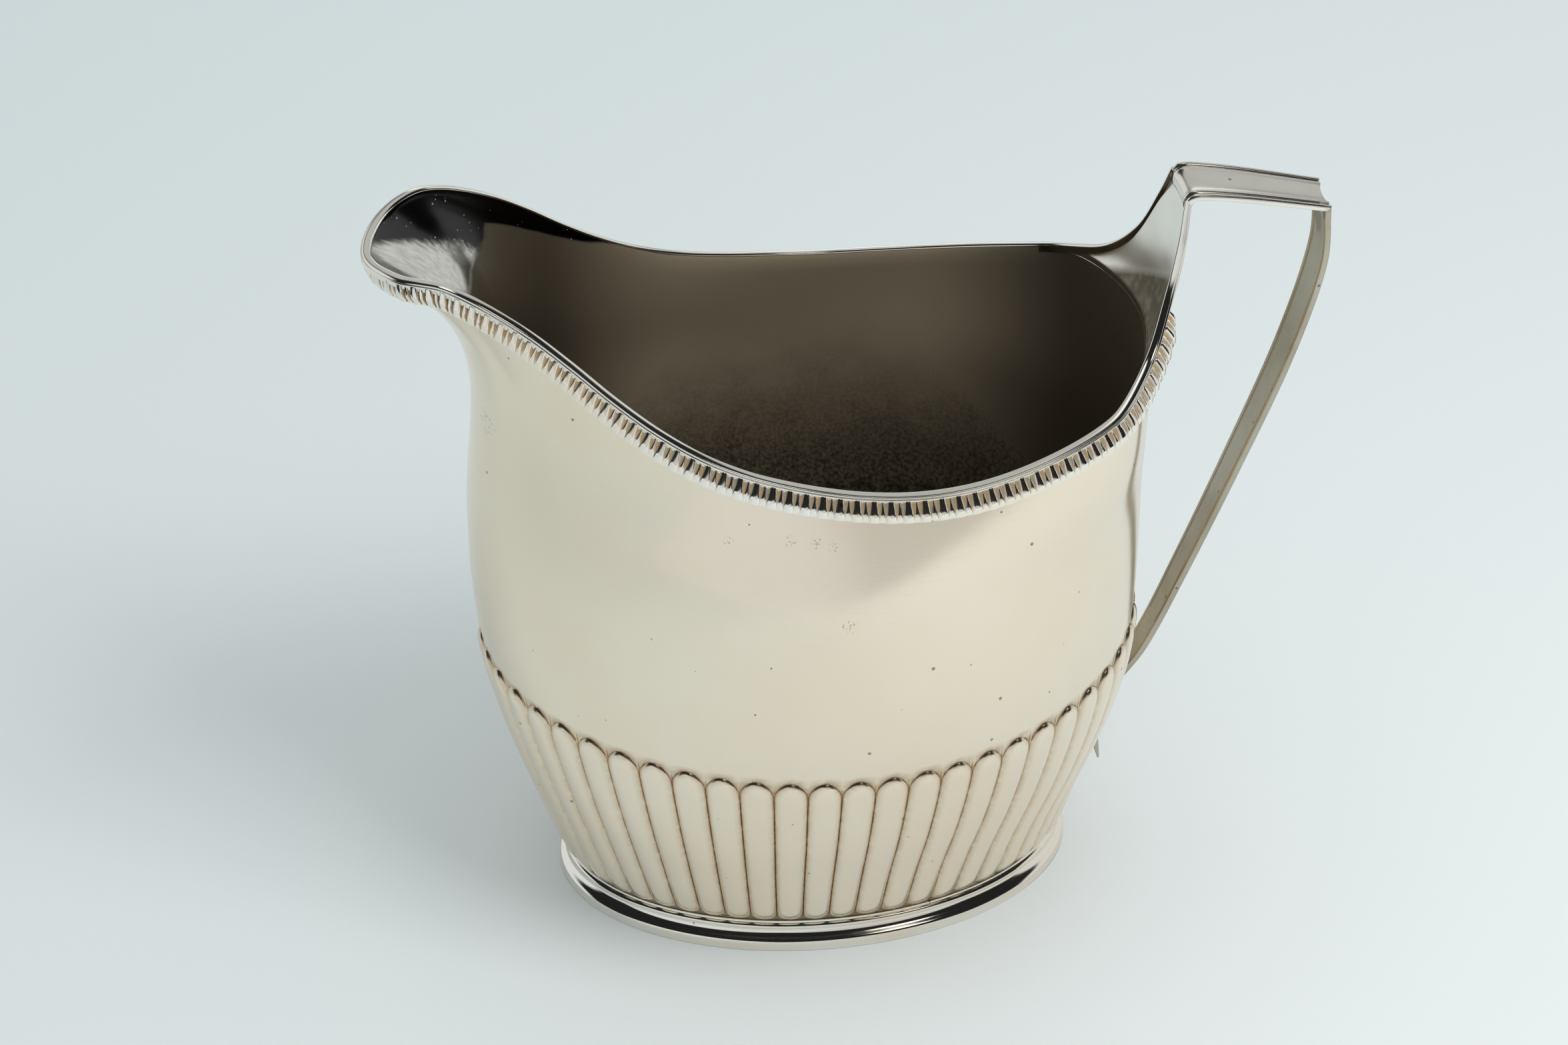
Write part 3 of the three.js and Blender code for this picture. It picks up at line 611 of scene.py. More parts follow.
# Middle of the edge where the lip's polish ends, and how much the edge bends back at its sides
THROAT_X, THROAT_BEND = -0.0517, 22.0
# A wiped channel runs along the lip, wider toward the throat; beside it a dark reflection is painted as a black film,
# with real dust
CHANNEL_X, CHANNEL_HALF, CHANNEL_SPREAD = -0.063, 0.0051, 0.57
# The polish and the painted black reflection go on under the rim, as a band that narrows and ends at this place
BAND_X, BAND_SLOPE = -0.026, 0.24
# The painted black reflection and the polish are kept to this height and above
POLISH_BOTTOM = 0.08
# Heights where the mottling is full and gone, its drift and its least share
MOTTLE_FULL, MOTTLE_GONE, MOTTLE_DRIFT, MOTTLE_LEAST = 0.044, 0.076, 0.012, 0.7
# Toward both ends of the bowl the lining darkens, from the first distance to the second
DARK_MIDDLE, DARK_FROM, DARK_TO, DARK_SHARE = 0.001, 0.014, 0.039, 0.92
LINING_ROUGH, LIP_ROUGH, LINING_MIRROR, LINING_LINES = 0.42, 0.17, 0.45, 0.015
DUST_SCALE, DUST_COVER, DUST_SHARES, LINING_CLOUDS, CLOUD_ROUGH = 1500.0, 0.3, (0.1, 0.6), 45.0, 0.06
# Edges of polish, band and channel, whose edge bounds the painted black reflection: the grain and size of their waves,
# and what they fade over
LIP_GRAIN, LIP_WAVE, LIP_FADE = 240.0, 0.0012, (-0.0002, 0.0005)
BAND_GRAIN, BAND_WAVE, BAND_FADE = 160.0, 0.0008, (0.0004, -0.0003)
STREAK_STRETCH, STREAK_FADE, REFLECTION_EDGE_WAVE, REFLECTION_EDGE_FADE = (90, 2400, 900), (0.3, 0.7), -0.0012, (-0.0011, 0.0003)
MOTTLE_GRAIN, MOTTLE_ROUGH, MOTTLE_FADE, DRIFT_GRAIN = 2000.0, 0.6, (0.32, 0.68), 140.0
# A dark reflection painted on the lip as a near-black colour
LIP_PAINTED_REFLECTION = (0.045, 0.045, 0.043, 1)
LIP_DUST = (0.50, 0.49, 0.45, 1)
LIP_SILVER = (0.72, 0.70, 0.64, 1)
LIP_BRUSHED = (0.55, 0.53, 0.48, 1)
# Shares of film and specks that show, and the roughness that film, tarnish with its painted shade, dirt and lines add
FILM_SHARE, SPECK_SHARE, FILM_ROUGH, STAIN_ROUGH, DIRT_ROUGH, LINE_ROUGH = 0.55, 0.7, 0.05, 0.16, 0.3, 0.05
# The last range is where the deepest hollows get painted shade
SPECK_SCALE, SHEEN_TINT, DEEPEST_SHADE_FADE = 900.0, (1, 0.96, 0.88), (1.0, 1.45)
GRAIN_SCALE, GRAIN_ROUGH, GRAIN_FADE = 2600.0, 0.7, (0.55, 0.64)


def bright_silver(name, rough, stain_from=0.5, stain_to=1.2, stain_and_shade_colour=WARM_STAIN, clean=SILVER, film=DULL_SILVER,
                  cloud_scale=38.0, speck_cover=0.02, stain_mirror=1.0, stain_least=0.45, deepest_shade=0.0,
                  edge_tint=1.0, lines=0.0, patches=()):
    """Polished silver with a cloudy film, specks, tarnish and painted shade in its hollows and, on broad faces, fine
    lines.
    """
    material, tree, shader, where = new_finish(name)
    marks = placed(polish_marks, where, {"Cloud Scale": cloud_scale})
    recess = put(tree, "ShaderNodeAttribute", {}, attribute_name="recess").outputs["Fac"]
    hollows = {"Recess": recess, "From": stain_from, "To": stain_to, "Least": stain_least}
    stain_and_shade_share = placed(hollow_stain, where, hollows)["Mask"]
    dots = placed(specks, where, {"Scale": SPECK_SCALE, "Cover": speck_cover})["Mask"]
    colour = blend(times(marks["Clouds"], FILM_SHARE), clean, film)
    colour = blend(times(dots, SPECK_SHARE), colour, DARK_STAIN_AND_SHADE)
    dirt_and_shade = times(stain_and_shade_share, 1 - stain_mirror) if stain_mirror < 1 else 0.0
    for middle, radius, strength, fullness in patches:
        spot = placed(patch, where, {"Middle": middle, "Radius": radius})["Mask"]
        grains = ramp(noise(where, GRAIN_SCALE, 3.0, GRAIN_ROUGH), *GRAIN_FADE, fullness, 1)
        worn = times(spot, grains, strength)
        colour = blend(worn, colour, DARK_STAIN_AND_SHADE)
        dirt_and_shade = most(dirt_and_shade, worn)
    # Colour in hollows: tarnish, which on the lobes' flanks and the root's front is painted shade
    colour = blend(stain_and_shade_share, colour, stain_and_shade_colour)
    # Painted shade in the deepest grooves
    if deepest_shade:
        colour = blend(ramp(recess, *DEEPEST_SHADE_FADE, 0, deepest_shade), colour, DARK_STAIN_AND_SHADE)
    dull = times_plus(marks["Clouds"], FILM_ROUGH, times(stain_and_shade_share, STAIN_ROUGH))
    if stain_mirror < 1 or patches:
        dull = times_plus(dirt_and_shade, DIRT_ROUGH, dull)
        fill(shader, {"Metallic": minus(1, dirt_and_shade)})
    if edge_tint < 1:
        fill(shader, {"Specular Tint": (*(edge_tint * k for k in SHEEN_TINT), 1)})
    if lines:
        dull = times_plus(marks["Lines"], LINE_ROUGH, dull)
        fine_lines(shader, marks["Lines"], lines)
    fill(shader, {"Base Color": colour, "Roughness": calc("ADD", dull, rough)})
    return material


def tarnished_lining():
    """The inside: brown and dull, mottled lower down, polished at the lip and near the rim, with a black reflection
    painted beside the lip's channel.
    """
    material, tree, shader, where = new_finish("tarnished_lining")
    marks = placed(polish_marks, where, {"Cloud Scale": LINING_CLOUDS})
    x, y, z = put(tree, "ShaderNodeSeparateXYZ", {0: where}).outputs
    rim_gap = put(tree, "ShaderNodeAttribute", {}, attribute_name="rim_gap").outputs["Fac"]
    wander = times_plus(noise(where, LIP_GRAIN), LIP_WAVE, x)
    edge = times_plus(times(y, y), THROAT_BEND, THROAT_X)
    lip = ramp(minus(edge, wander), *LIP_FADE)
    depth = times_plus(minus(x, BAND_X), BAND_SLOPE, rim_gap)
    band = ramp(times_plus(noise(where, BAND_GRAIN), BAND_WAVE, depth), *BAND_FADE)
    bright = times(most(lip, band), calc("GREATER_THAN", z, POLISH_BOTTOM))
    grain = ramp(noise(where, MOTTLE_GRAIN, 4.0, MOTTLE_ROUGH), *MOTTLE_FADE)
    drift = times_plus(noise(where, DRIFT_GRAIN, 4.0), MOTTLE_DRIFT, z)
    low = ramp(drift, MOTTLE_GONE, MOTTLE_FULL)
    ends = ramp(calc("ABSOLUTE", calc("ADD", x, DARK_MIDDLE)), DARK_FROM, DARK_TO, 0, DARK_SHARE)
    mottled = times(times_plus(grain, 1 - MOTTLE_LEAST, MOTTLE_LEAST), low)
    film = blend(most(mottled, ends), LINING, LINING_DARK)
    for middle, radius, strength in LINING_MARKS:
        spot = placed(patch, where, {"Middle": middle, "Radius": radius})["Mask"]
        film = blend(times(spot, strength), film, DARK_STAIN_AND_SHADE)
    dots = placed(specks, where, {"Scale": DUST_SCALE, "Cover": DUST_COVER})["Mask"]
    streak = noise(stretched(where, STREAK_STRETCH), 1.0)
    channel = times_plus(minus(x, CHANNEL_X), CHANNEL_SPREAD, CHANNEL_HALF)
    # Beside the wiped channel the lip is painted black for a dark reflection, with real dust specks on it
    beside = minus(calc("ABSOLUTE", y), times_plus(streak, REFLECTION_EDGE_WAVE, channel))
    side = ramp(beside, *REFLECTION_EDGE_FADE)
    brushed = blend(ramp(streak, *STREAK_FADE), LIP_SILVER, LIP_BRUSHED)
    dust = times(dots, ramp(side, 0, 1, *DUST_SHARES))
    silver = blend(dust, blend(side, brushed, LIP_PAINTED_REFLECTION), LIP_DUST)
    rough = times_plus(marks["Clouds"], CLOUD_ROUGH, ramp(bright, 0, 1, LINING_ROUGH, LIP_ROUGH))
    metal = minus(ramp(bright, 0, 1, LINING_MIRROR, 1), times(dust, bright))
    fine_lines(shader, marks["Lines"], LINING_LINES)
    fill(shader, {"Base Color": blend(bright, film, silver), "Roughness": rough, "Metallic": metal})
    return material


# The lobes' stain starts low in their hollows: tarnish at the grooves and painted shade over the flanks
body_silver = bright_silver("body_silver", 0.17, 0.15, 1.15, stain_and_shade_colour=LOBE_TARNISH_AND_SHADE, lines=0.008, patches=BODY_MARKS)
lining_silver = tarnished_lining()
foot_silver = bright_silver("foot_silver", 0.07, clean=CLEAR_SILVER)
rim_silver = bright_silver("rim_silver", 0.09, clean=CLEAR_SILVER, film=CLEAR_FILM)
# The border's grooves hold tarnish; at the lip their deepest parts get painted shade
border_silver = bright_silver("border_silver", 0.11, 0.18, 0.75, stain_and_shade_colour=GROOVE_STAIN, clean=CLEAR_SILVER,
                              stain_mirror=0.35, deepest_shade=0.85)
# The root's stain is painted shade low on its front
root_silver = bright_silver("root_silver", 0.3, 0.3, 0.7, stain_and_shade_colour=ROOT_PAINTED_SHADE, clean=PALE_SILVER, film=CLEAR_SILVER,
                            cloud_scale=90.0, stain_mirror=0.45, stain_least=0.85)
bar_silver = bright_silver("bar_silver", 0.2, clean=CLEAR_SILVER, film=CLEAR_FILM, cloud_scale=90.0,
                           speck_cover=0.05, patches=CORNER_PITS)
# The strap's dark colours and lowered sheen tint are painted shade over the whole strap
strap_silver = bright_silver("strap_silver", 0.26, clean=STRAP_SHADED, film=STRAP_SHADED_FILM, cloud_scale=70.0,
                             speck_cover=0.06, edge_tint=0.6, patches=CORNER_PITS)

# Body: one sheet, up the outside, over the rim and down the inside. Its edge lies in the wire: so far past the wire's
# inner face, so far under its crest and so far turned outward
SKIN, SKIN_TOP, SKIN_TURN = 0.03, 0.5, 0.1
# Inside, the lobes show as hollows of this share
LOBE_INSIDE = 0.7
# Points across one lobe, from groove to groove, and rows up the lobes, outside and inside
LOBE_PLACES = (-1, -0.985, -0.95, -0.88, -0.78, -0.62, -0.42, -0.2, 0, 0.2, 0.42, 0.62, 0.78, 0.88, 0.95, 0.985)
OUTER_SHARES = [0, 0.004, 0.012, 0.025, 0.04, 0.06, 0.08, *np.linspace(0.12, 0.9, 12),
                0.925, 0.935, 0.945, 0.955, 0.965, 0.974, 0.982, 0.989, 0.994, 0.998, 1]
INNER_SHARES = (1, 0.985, 0.965, 0.93, 0.8, 0.6, 0.4, 0.2, 0.1)
lobe_places = np.tile(LOBE_PLACES, LOBE_COUNT)
column_shares = (np.repeat(np.arange(LOBE_COUNT), len(LOBE_PLACES)) + (lobe_places + 1) / 2) / LOBE_COUNT
column_angles = np.interp(column_shares, girth_shares, girth_turns)
lobe_top = LOBE_TOP_AT_SIDE + LOBE_TOP_RISE * np.cos(column_angles) ** 2
lobe_crest = lobe_top + LOBE_ARCH - LOBE_ARCH_DROP


def wall_row(level, depth, share=0, gain=0):
    """A row's points, its share up the lobes, how much they are raised there, and if it is inside."""
    return off_bowl(column_angles, level, -depth), share, gain, depth > 0


def lobe_rows(shares, depth, gain):
    dome = np.sqrt(np.maximum(1 - np.abs(lobe_places) ** LOBE_FULLNESS, 0))
    bottom = bowl_base + LOBE_LOWER_END * (2 - dome)
    top = lobe_crest - LOBE_ARCH * (1 - (1 - lobe_places**2) ** LOBE_ARCH_ROUND)
    return [wall_row(level_of(bottom + (top - bottom) * s), depth, s, gain) for s in shares]


def plain_rows(shares, depth):
    return [wall_row(level_of(lobe_crest + (shoulder - lobe_crest) * s), depth) for s in shares]


def disc_rows(z, level, depth, shares, inner):
    edge = off_bowl(column_angles, level, -depth)
    edge[:, 2] = z
    return [(edge * np.array([s, s, 1]), 0, 0, inner) for s in shares]


def body_rows():
    point, across, out = rim_frame(column_angles)
    turns = ((SKIN_TURN, SKIN_TOP), (-SKIN, SKIN_TOP), (-SKIN, rim_drop))
    in_wire = [moved(point, (across, aside - WALL / 2), (out, -below)) for aside, below in turns]
    floor = bowl_base + WALL
    return [
        *disc_rows(bowl_base, 0, 0, (0.02, 0.5, 0.9, 1), False),
        *lobe_rows(OUTER_SHARES, 0, 1.0),
        *plain_rows((0.06, 0.2, 0.4, 0.6, 0.8, 1), 0),
        *(wall_row(level, 0) for level in np.linspace(1.05, 2, 22)),
        *((row, 0, 0, True) for row in in_wire),
        *(wall_row(level, WALL) for level in np.linspace(1.93, 1.05, 15)),
        *plain_rows((1, 0.6, 0.2, 0.04), WALL),
        *lobe_rows(INNER_SHARES, WALL, -LOBE_INSIDE),
        *disc_rows(floor, level_of(floor), 2 * WALL, (1, 0.9, 0.5, 0.02), True),
    ]


def body_piece():
    points, *values = zip(*body_rows())
    points = np.stack(points)
    share, gain, inside = (np.repeat(kind, len(column_angles)) for kind in values)
    rim_gap = (rim_point(column_angles)[:, 2] - points[..., 2]).ravel() * MM
    piece = lofted("jug_body", points, lobe_place=np.tile(lobe_places, len(points)), lobe_share=share,
                   lobe_gain=gain, inside=inside, rim_gap=rim_gap)
    run_tree(piece, lobes_tree(), {
        "Lobe Height": LOBE_HEIGHT * MM, "Fullness": LOBE_FULLNESS, "Lower Round": LOBE_LOWER_ROUND,
        "Upper Round": LOBE_UPPER_ROUND, "Outside": body_silver, "Inside": lining_silver})
    finished(piece, "body_shell", 70)


body_piece()

# Foot ring and rim wire: drawn mouldings, with sections as steps outward and up
FOOT_SECTION = [
    (-0.12, 0), (0, 0.14), (0, 1.15), (-0.04, 1.42), (-0.14, 1.64), (-0.34, 1.82), (-0.62, 1.98), (-0.88, 2.2),
    (-1.08, 2.5), (-1.2, 2.82), (-1.24, 3.04), (-1.2, 3.12), (-1.02, 3.18), (-0.87, 3.33), (-0.8, 3.55),
    (-0.87, 3.78), (-1.02, 3.94), (-1.22, 4.02), (-1.3, 4.1), (-1.3, 4.38), (-2.6, 4.38), (-2.6, 1.8), (-1.6, 0.1),
    (-1.5, 0),
]
WIRE_SECTION = [
    (-0.45, -1.36), (-0.45, -0.52), (-0.43, -0.37), (-0.38, -0.25), (-0.3, -0.15), (-0.18, -0.095), (-0.05, -0.085),
    (0.2, -0.13), (0.45, -0.2), (0.63, -0.27), (0.72, -0.32), (0.78, -0.39), (0.81, -0.48), (0.83, -0.57),
    (0.89, -0.57), (0.95, -0.56), (1.01, -0.59), (1.05, -0.66), (1.06, -0.77), (1.04, -0.88), (1.0, -0.98),
    (1.0, -1.36),
]
FOOT_STEPS, WIRE_STEPS = 240, 640
moulding = moulding_tree()


def moulded(name, node, line, closed, section, sizes, silver):
    piece = line_piece(name, line, closed, section_size=sizes)
    outline = line_piece("section", [(across, -out, 0) for across, out in section], True)
    outline.data.transform(Matrix.Translation((-FOOT_MIDDLE[0], 0, 0)))
    run_tree(piece, moulding, {"Section": outline, "Silver": silver})
    bpy.data.objects.remove(outline)
    finished(piece, node)


foot_turns = np.linspace(0, math.tau, FOOT_STEPS, endpoint=False)
foot_line = np.stack([FOOT_LENGTH / 2 * np.cos(foot_turns), FOOT_WIDTH / 2 * np.sin(foot_turns), 0 * foot_turns], -1)
moulded("foot_moulding", "foot_ring", foot_line, True, FOOT_SECTION, np.ones(FOOT_STEPS), foot_silver)
wire_shares = np.linspace(0, 1, WIRE_STEPS)
moulded("rim_reeds", "rim_wire", edge_point(wire_shares), False, WIRE_SECTION, wire_size(wire_shares),
        rim_silver)

# Gadroon border: a band under the wire on each side, from the handle's root to the tip of the lip
BAND_PROFILE = [(0, 1), (0.03, 1.06), (0.1, 1.18), (0.2, 1.35), (0.3, 1.51), (0.4, 1.66), (0.5, 1.8), (0.57, 1.89),
                (0.62, 1.93), (0.7, 1.95), (0.8, 1.95), (0.9, 1.94), (1, 1.9)]
# Sizes of one unit, in shares of its pitch and in millimetres, and the places of its points
GROOVE_OFFSET, GROOVE_HALF_WIDTH, GROOVE_DEPTH, UNIT_BULGE = 0.19, 0.19, 0.3, 0.07
UNIT_PLACES = (0, 0.1, 0.15, 0.2, 0.25, 0.28, 0.3, 0.31, 0.32, 0.34, 0.37, 0.42, 0.46,
               0.5, 0.54, 0.58, 0.63, 0.66, 0.68, 0.69, 0.7, 0.72, 0.75, 0.8, 0.85, 0.9)
# The relief gets lower over the last few units, and the last dozen change to the lip's kind of groove
LAST_UNITS, LAST_RELIEF, LIP_UNITS, LIP_REACH = 5, 0.65, 12, 1.4
# The band's back lies this deep in the wall, and at least this far down it
BACK_SINK, BACK_DROP = 0.1, 0.2
gadroon = gadroon_tree()


def border_piece(name, node, side):
    start, end = leg_share(BORDER_START), 0.5
    units = round((end - start) * edge_length / BORDER_PITCH)
    turns = np.concatenate([(np.arange(units)[:, None] + np.array(UNIT_PLACES)).ravel(), [units]])
    shares = start + (end - start) * turns / units
    size = np.sqrt(np.minimum((turns + BORDER_TIP_SIZE) / BORDER_GROWTH, 1))
    relief = size * (LAST_RELIEF + (1 - LAST_RELIEF) * np.minimum((units - turns) / LAST_UNITS, 1))
    at_lip = np.clip(LIP_REACH - (units - turns) / LIP_UNITS, 0, 1)
    point, _, across, out = edge_frame(shares)
    joint = math.radians(TONGUE_START)
    angle = np.maximum(edge_angle(shares), joint)
    wall = unit(bowl(angle, 2 - NUDGE) - bowl(angle, 2.0))
    hang = unit(-out + (wall + out) * BORDER_TUCK)
    head, top = WALL / 2, (out, -BORDER_TOP)
    spots = []
    for down, proud in BAND_PROFILE:
        outward = head + (proud - head) * relief
        spots.append(moved(point, (across, outward), top, (hang, BORDER_HEIGHT * size * down)))
    drop = np.maximum((BORDER_TOP + BORDER_HEIGHT) * size - rim_drop, BACK_DROP)
    reach = 3 * RIM_PULL * np.linalg.norm(bowl(angle, 1.0) - bowl(angle, 2.0), axis=-1)
    seat = off_bowl(angle, 2 - drop / reach, -BACK_SINK)
    beside = moved(point, (across, head), top, (wall, drop))
    on_rim = (edge_angle(shares) >= joint)[:, None]
    spots += [np.where(on_rim, seat, beside), moved(point, (across, head - BACK_SINK), top)]
    downs = [*(down for down, _ in BAND_PROFILE), -1, -1]
    sections = np.stack(spots, 1)
    if side < 0:
        sections, across = sections * mirror, across * mirror
    count = len(downs)
    piece = lofted(name, sections, unit_turn=np.repeat(turns, count), down=np.tile(downs, len(turns)),
                   size=np.repeat(relief, count), at_lip=np.repeat(at_lip, count), outward=np.repeat(across, count, 0))
    run_tree(piece, gadroon, {"Groove Depth": GROOVE_DEPTH * MM, "Groove Half Width": GROOVE_HALF_WIDTH,
                              "Groove Offset": GROOVE_OFFSET, "Lobe Bulge": UNIT_BULGE * MM, "Silver": border_silver})
    finished(piece, node, 60)


border_piece("gadroon_left", "gadroon_border_left", -1)
border_piece("gadroon_right", "gadroon_border_right", 1)

# Handle root: a sheet tongue on the back of the rim, between the two legs of the wire
WIRE_INNER = WIRE_SECTION[0][0]
# The sheet goes this far into the wire's legs, and on its front stays this far under their crest
ROOT_TUCK, ROOT_BELOW = 0.15, 0.12
# Painted brown shade goes up the root's front to this height, where it dips into the bowl; lower toward +Y, with a
# soft edge
ROOT_SHADE_TOP, ROOT_SHADE_SLOPE, ROOT_SHADE_EDGE = 92.2, 0.55, 4.0
# Its top curls back under the bar by so much
TONGUE_CURL = 0.9


def tongue_edge(share, face):
    point, along, across, out = edge_frame(share)
    rise = np.minimum(np.abs(along[..., 2]), 1)
    aside = face * SHEET / 2 * (1 - rise) + (WIRE_INNER * wire_size(share) + ROOT_TUCK) * rise
    below = rim_drop * (1 - rise) + (ROOT_BELOW if face < 0 else SHEET) * rise
    return moved(point, (across, aside), (out, -below))


def root_piece():
    foot_turn = math.radians(TONGUE_FOOT)
    foot_share = leg_share(rim_point(np.array(foot_turn))[1])
    places, rows = np.linspace(-1, 1, 41), np.linspace(0, 1, 31)
    lower = 1 - rows

    def surface(face):
        edge = tongue_edge(foot_share * lower, face)[:, None]
        foot = tongue_edge(np.array([foot_share]), face)[0]
        point, across, out = rim_frame(places * foot_turn)
        base = moved(point, (across, face * SHEET / 2), (out, -rim_drop))
        x = edge[..., 0] + (base[:, 0] - foot[0])[None] * (lower**2)[:, None]
        y = edge[..., 1] * places[None] + (base[:, 1] - foot[1] * places)[None] * lower[:, None]
        z = edge[..., 2] + (base[:, 2] - foot[2])[None] * lower[:, None]
        curl = (rows**6)[:, None]
        return np.stack([x + TONGUE_CURL * curl, y, z - TONGUE_CURL / 2 * curl], -1)

    sections = np.concatenate([surface(-1), surface(1)[:, ::-1]], 1)
    # Painted shade darkens the root's front below a sloping height
    below = (ROOT_SHADE_TOP - ROOT_SHADE_SLOPE * sections[..., 1] - sections[..., 2]) / ROOT_SHADE_EDGE + 0.5
    front = np.arange(sections.shape[1]) < len(places)
    piece = lofted("handle_tongue", sections, recess=(np.clip(below, 0, 1) * front).ravel())
    piece.data.materials.append(root_silver)
    finished(piece, "handle_root")


root_piece()

# Handle strips: moulded outside, flat inside, mitred at the outer corner
STRIP_HALF = [(0.985, 0), (1, 0.1), (1, 0.5), (0.99, 0.74), (0.965, 0.92), (0.925, 1), (0.88, 0.99), (0.84, 0.88),
              (0.815, 0.7), (0.8, 0.6), (0.775, 0.56), (0.75, 0.62), (0.725, 0.76), (0.695, 0.88), (0.655, 0.93),
              (0.615, 0.89), (0.57, 0.79), (0.48, 0.66), (0.34, 0.56), (0.18, 0.51)]
STRIP_UNDER = [(0.87, 0), (0.84, 0.14), (0.8, 0.03), (0.5, 0.1)]
right_half, right_under = np.array(STRIP_HALF), np.array(STRIP_UNDER)
STRIP_SECTION = np.concatenate([right_half * [-1, 1], [(0, 0.5)], right_half[::-1],
                                right_under, [(0, 0.13)], (right_under * [-1, 1])[::-1]])
STRIP_RECESS = np.isin(np.abs(STRIP_SECTION[:, 0]), (0.84, 0.775, 0.8)) * (STRIP_SECTION[:, 1] < 0.7)
ACROSS = np.array([0.0, -1.0, 0.0])
BAR_STEPS, STRAP_STEPS, LINE_STEPS, SEAT_GAP = 64, 140, 1500, 0.02
# The bar's start and the strap's end are this thin, and get full over these shares of their lengths
BAR_THIN, BAR_THIN_SHARE, TAIL_THIN, TAIL_THIN_SHARE, TAIL_THIN_END = 0.15, 0.11, 0.35, 0.06, 1.02


def strip_out(points):
    """Directions out of a strip's moulded face, at each point of its line."""
    along = unit(np.concatenate([points[1:], points[-1:]]) - np.concatenate([points[:1], points[:-1]]))
    return np.cross(np.broadcast_to(ACROSS, along.shape), along)


def spaced(points, count):
    line, _ = smooth_line(points, LINE_STEPS)
    shares, _ = along_lengths(line)
    where = np.linspace(0, 1, count)
    return np.stack([np.interp(where, shares, line[:, k]) for k in range(3)], -1)


def strip_seat(z):
    """Places at the back of the bowl where the strap lies on the lobes."""
    z = np.asarray(z, float)
    return off_bowl(np.zeros_like(z), level_of(z), LOBE_HEIGHT + SEAT_GAP)


def strip_piece(name, node, line, outs, width_from, width_to, thickness, silver):
    wide = np.linspace(width_from, width_to, len(line))
    steps = STRIP_SECTION[None] * np.stack([wide, thickness], -1)[:, None]
    sections = line[:, None] + ACROSS * steps[..., :1] + outs[:, None] * steps[..., 1:]
    piece = lofted(name, sections, recess=np.tile(STRIP_RECESS, len(line)))
    piece.data.materials.append(silver)
    finished(piece, node)


def handle_pieces():
    bar = spaced([(x, 0, z) for x, z in BAR_LINE], BAR_STEPS)
    seats = strip_seat([STRAP_SEAT_TOP, STRAP_SEAT_END, TAIL_HEIGHT])
    seats[-1] += bowl_normal(np.zeros(1), level_of(np.array([TAIL_HEIGHT])))[0] * TAIL_FLICK
    strap = spaced([*((x, 0, z) for x, z in (BAR_LINE[-1], *STRAP_BENDS)), *seats], STRAP_STEPS)
    low = strap[:, 2] < shoulder
    strap[low, 0] = np.maximum(strap[low, 0], strip_seat(strap[low, 2])[:, 0])
    bar_out, strap_out = strip_out(bar), strip_out(strap)
    mitre = (bar_out[-1] + strap_out[0]) / (1 + bar_out[-1] @ strap_out[0])
    bar_out[-1] = strap_out[0] = mitre
    share = np.linspace(0, 1, BAR_STEPS)
    thick = STRIP_THICKNESS * np.clip(BAR_THIN + share / BAR_THIN_SHARE, BAR_THIN, 1)
    strip_piece("handle_bar", "handle_top_bar", bar, bar_out, BAR_HALF_WIDTH, STRAP_HALF_WIDTH, thick, bar_silver)
    share = np.linspace(0, 1, STRAP_STEPS)
    thick = STRIP_THICKNESS * np.clip((TAIL_THIN_END - share) / TAIL_THIN_SHARE, TAIL_THIN, 1)
    strip_piece("handle_strap", "handle_back_strap", strap, strap_out, STRAP_HALF_WIDTH, TAIL_HALF_WIDTH, thick,
                strap_silver)


handle_pieces()

# Studio: a pale floor, one soft lamp high on the right and plain light from all round
# The far and left paper colours are painted shade
PAPER_NEAR, PAPER_FAR_SHADED, PAPER_LEFT_SHADED = (0.94, 0.96, 0.955, 1), (0.75, 0.805, 0.81, 1), (0.70, 0.76, 0.765, 1)
PAPER_HALF, FLOOR_HALF, FLOOR_BELOW, PAPER_ROUGH = 0.45, 4.0, 0.0002, 0.7
# Where painted shade darkens the paper to the back and to the left
FAR_SHADE_FADE, LEFT_SHADE_FADE, LEFT_SHADE_SHARE = (-0.15, 0.3), (0.15, -0.25), 0.8


def floor_sheet(name, half, height, material):
    corners = [(-half, -half, height), (half, -half, height), (half, half, height), (-half, half, height)]
    sheet = piece_of(name, (corners - FOOT_MIDDLE) / MM, [(0, 1, 2, 3)])
    sheet.data.materials.append(material)
    return sheet


def studio_floor():
    """Pale paper under the jug, with painted shade toward the back and the left, and a wide floor round it that the
    silver does not mirror.
    """
    material, tree, shader, where = new_finish("pale_paper", 0.0)
    x, y, _ = put(tree, "ShaderNodeSeparateXYZ", {0: where}).outputs
    # Painted shade: the paper darkens to the back and to the left
    colour = blend(ramp(y, *FAR_SHADE_FADE), PAPER_NEAR, PAPER_FAR_SHADED)
    colour = blend(times(ramp(x, *LEFT_SHADE_FADE), LEFT_SHADE_SHARE), colour, PAPER_LEFT_SHADED)
    fill(shader, {"Base Color": colour, "Roughness": PAPER_ROUGH})
    floor_sheet("floor", PAPER_HALF, 0, material)
    floor_sheet("wide_floor", FLOOR_HALF, -FLOOR_BELOW, material).visible_glossy = False


ROOM_LIGHT, ROOM_DARK = (0.66, 0.70, 0.71, 1), (0.014, 0.014, 0.015, 1)
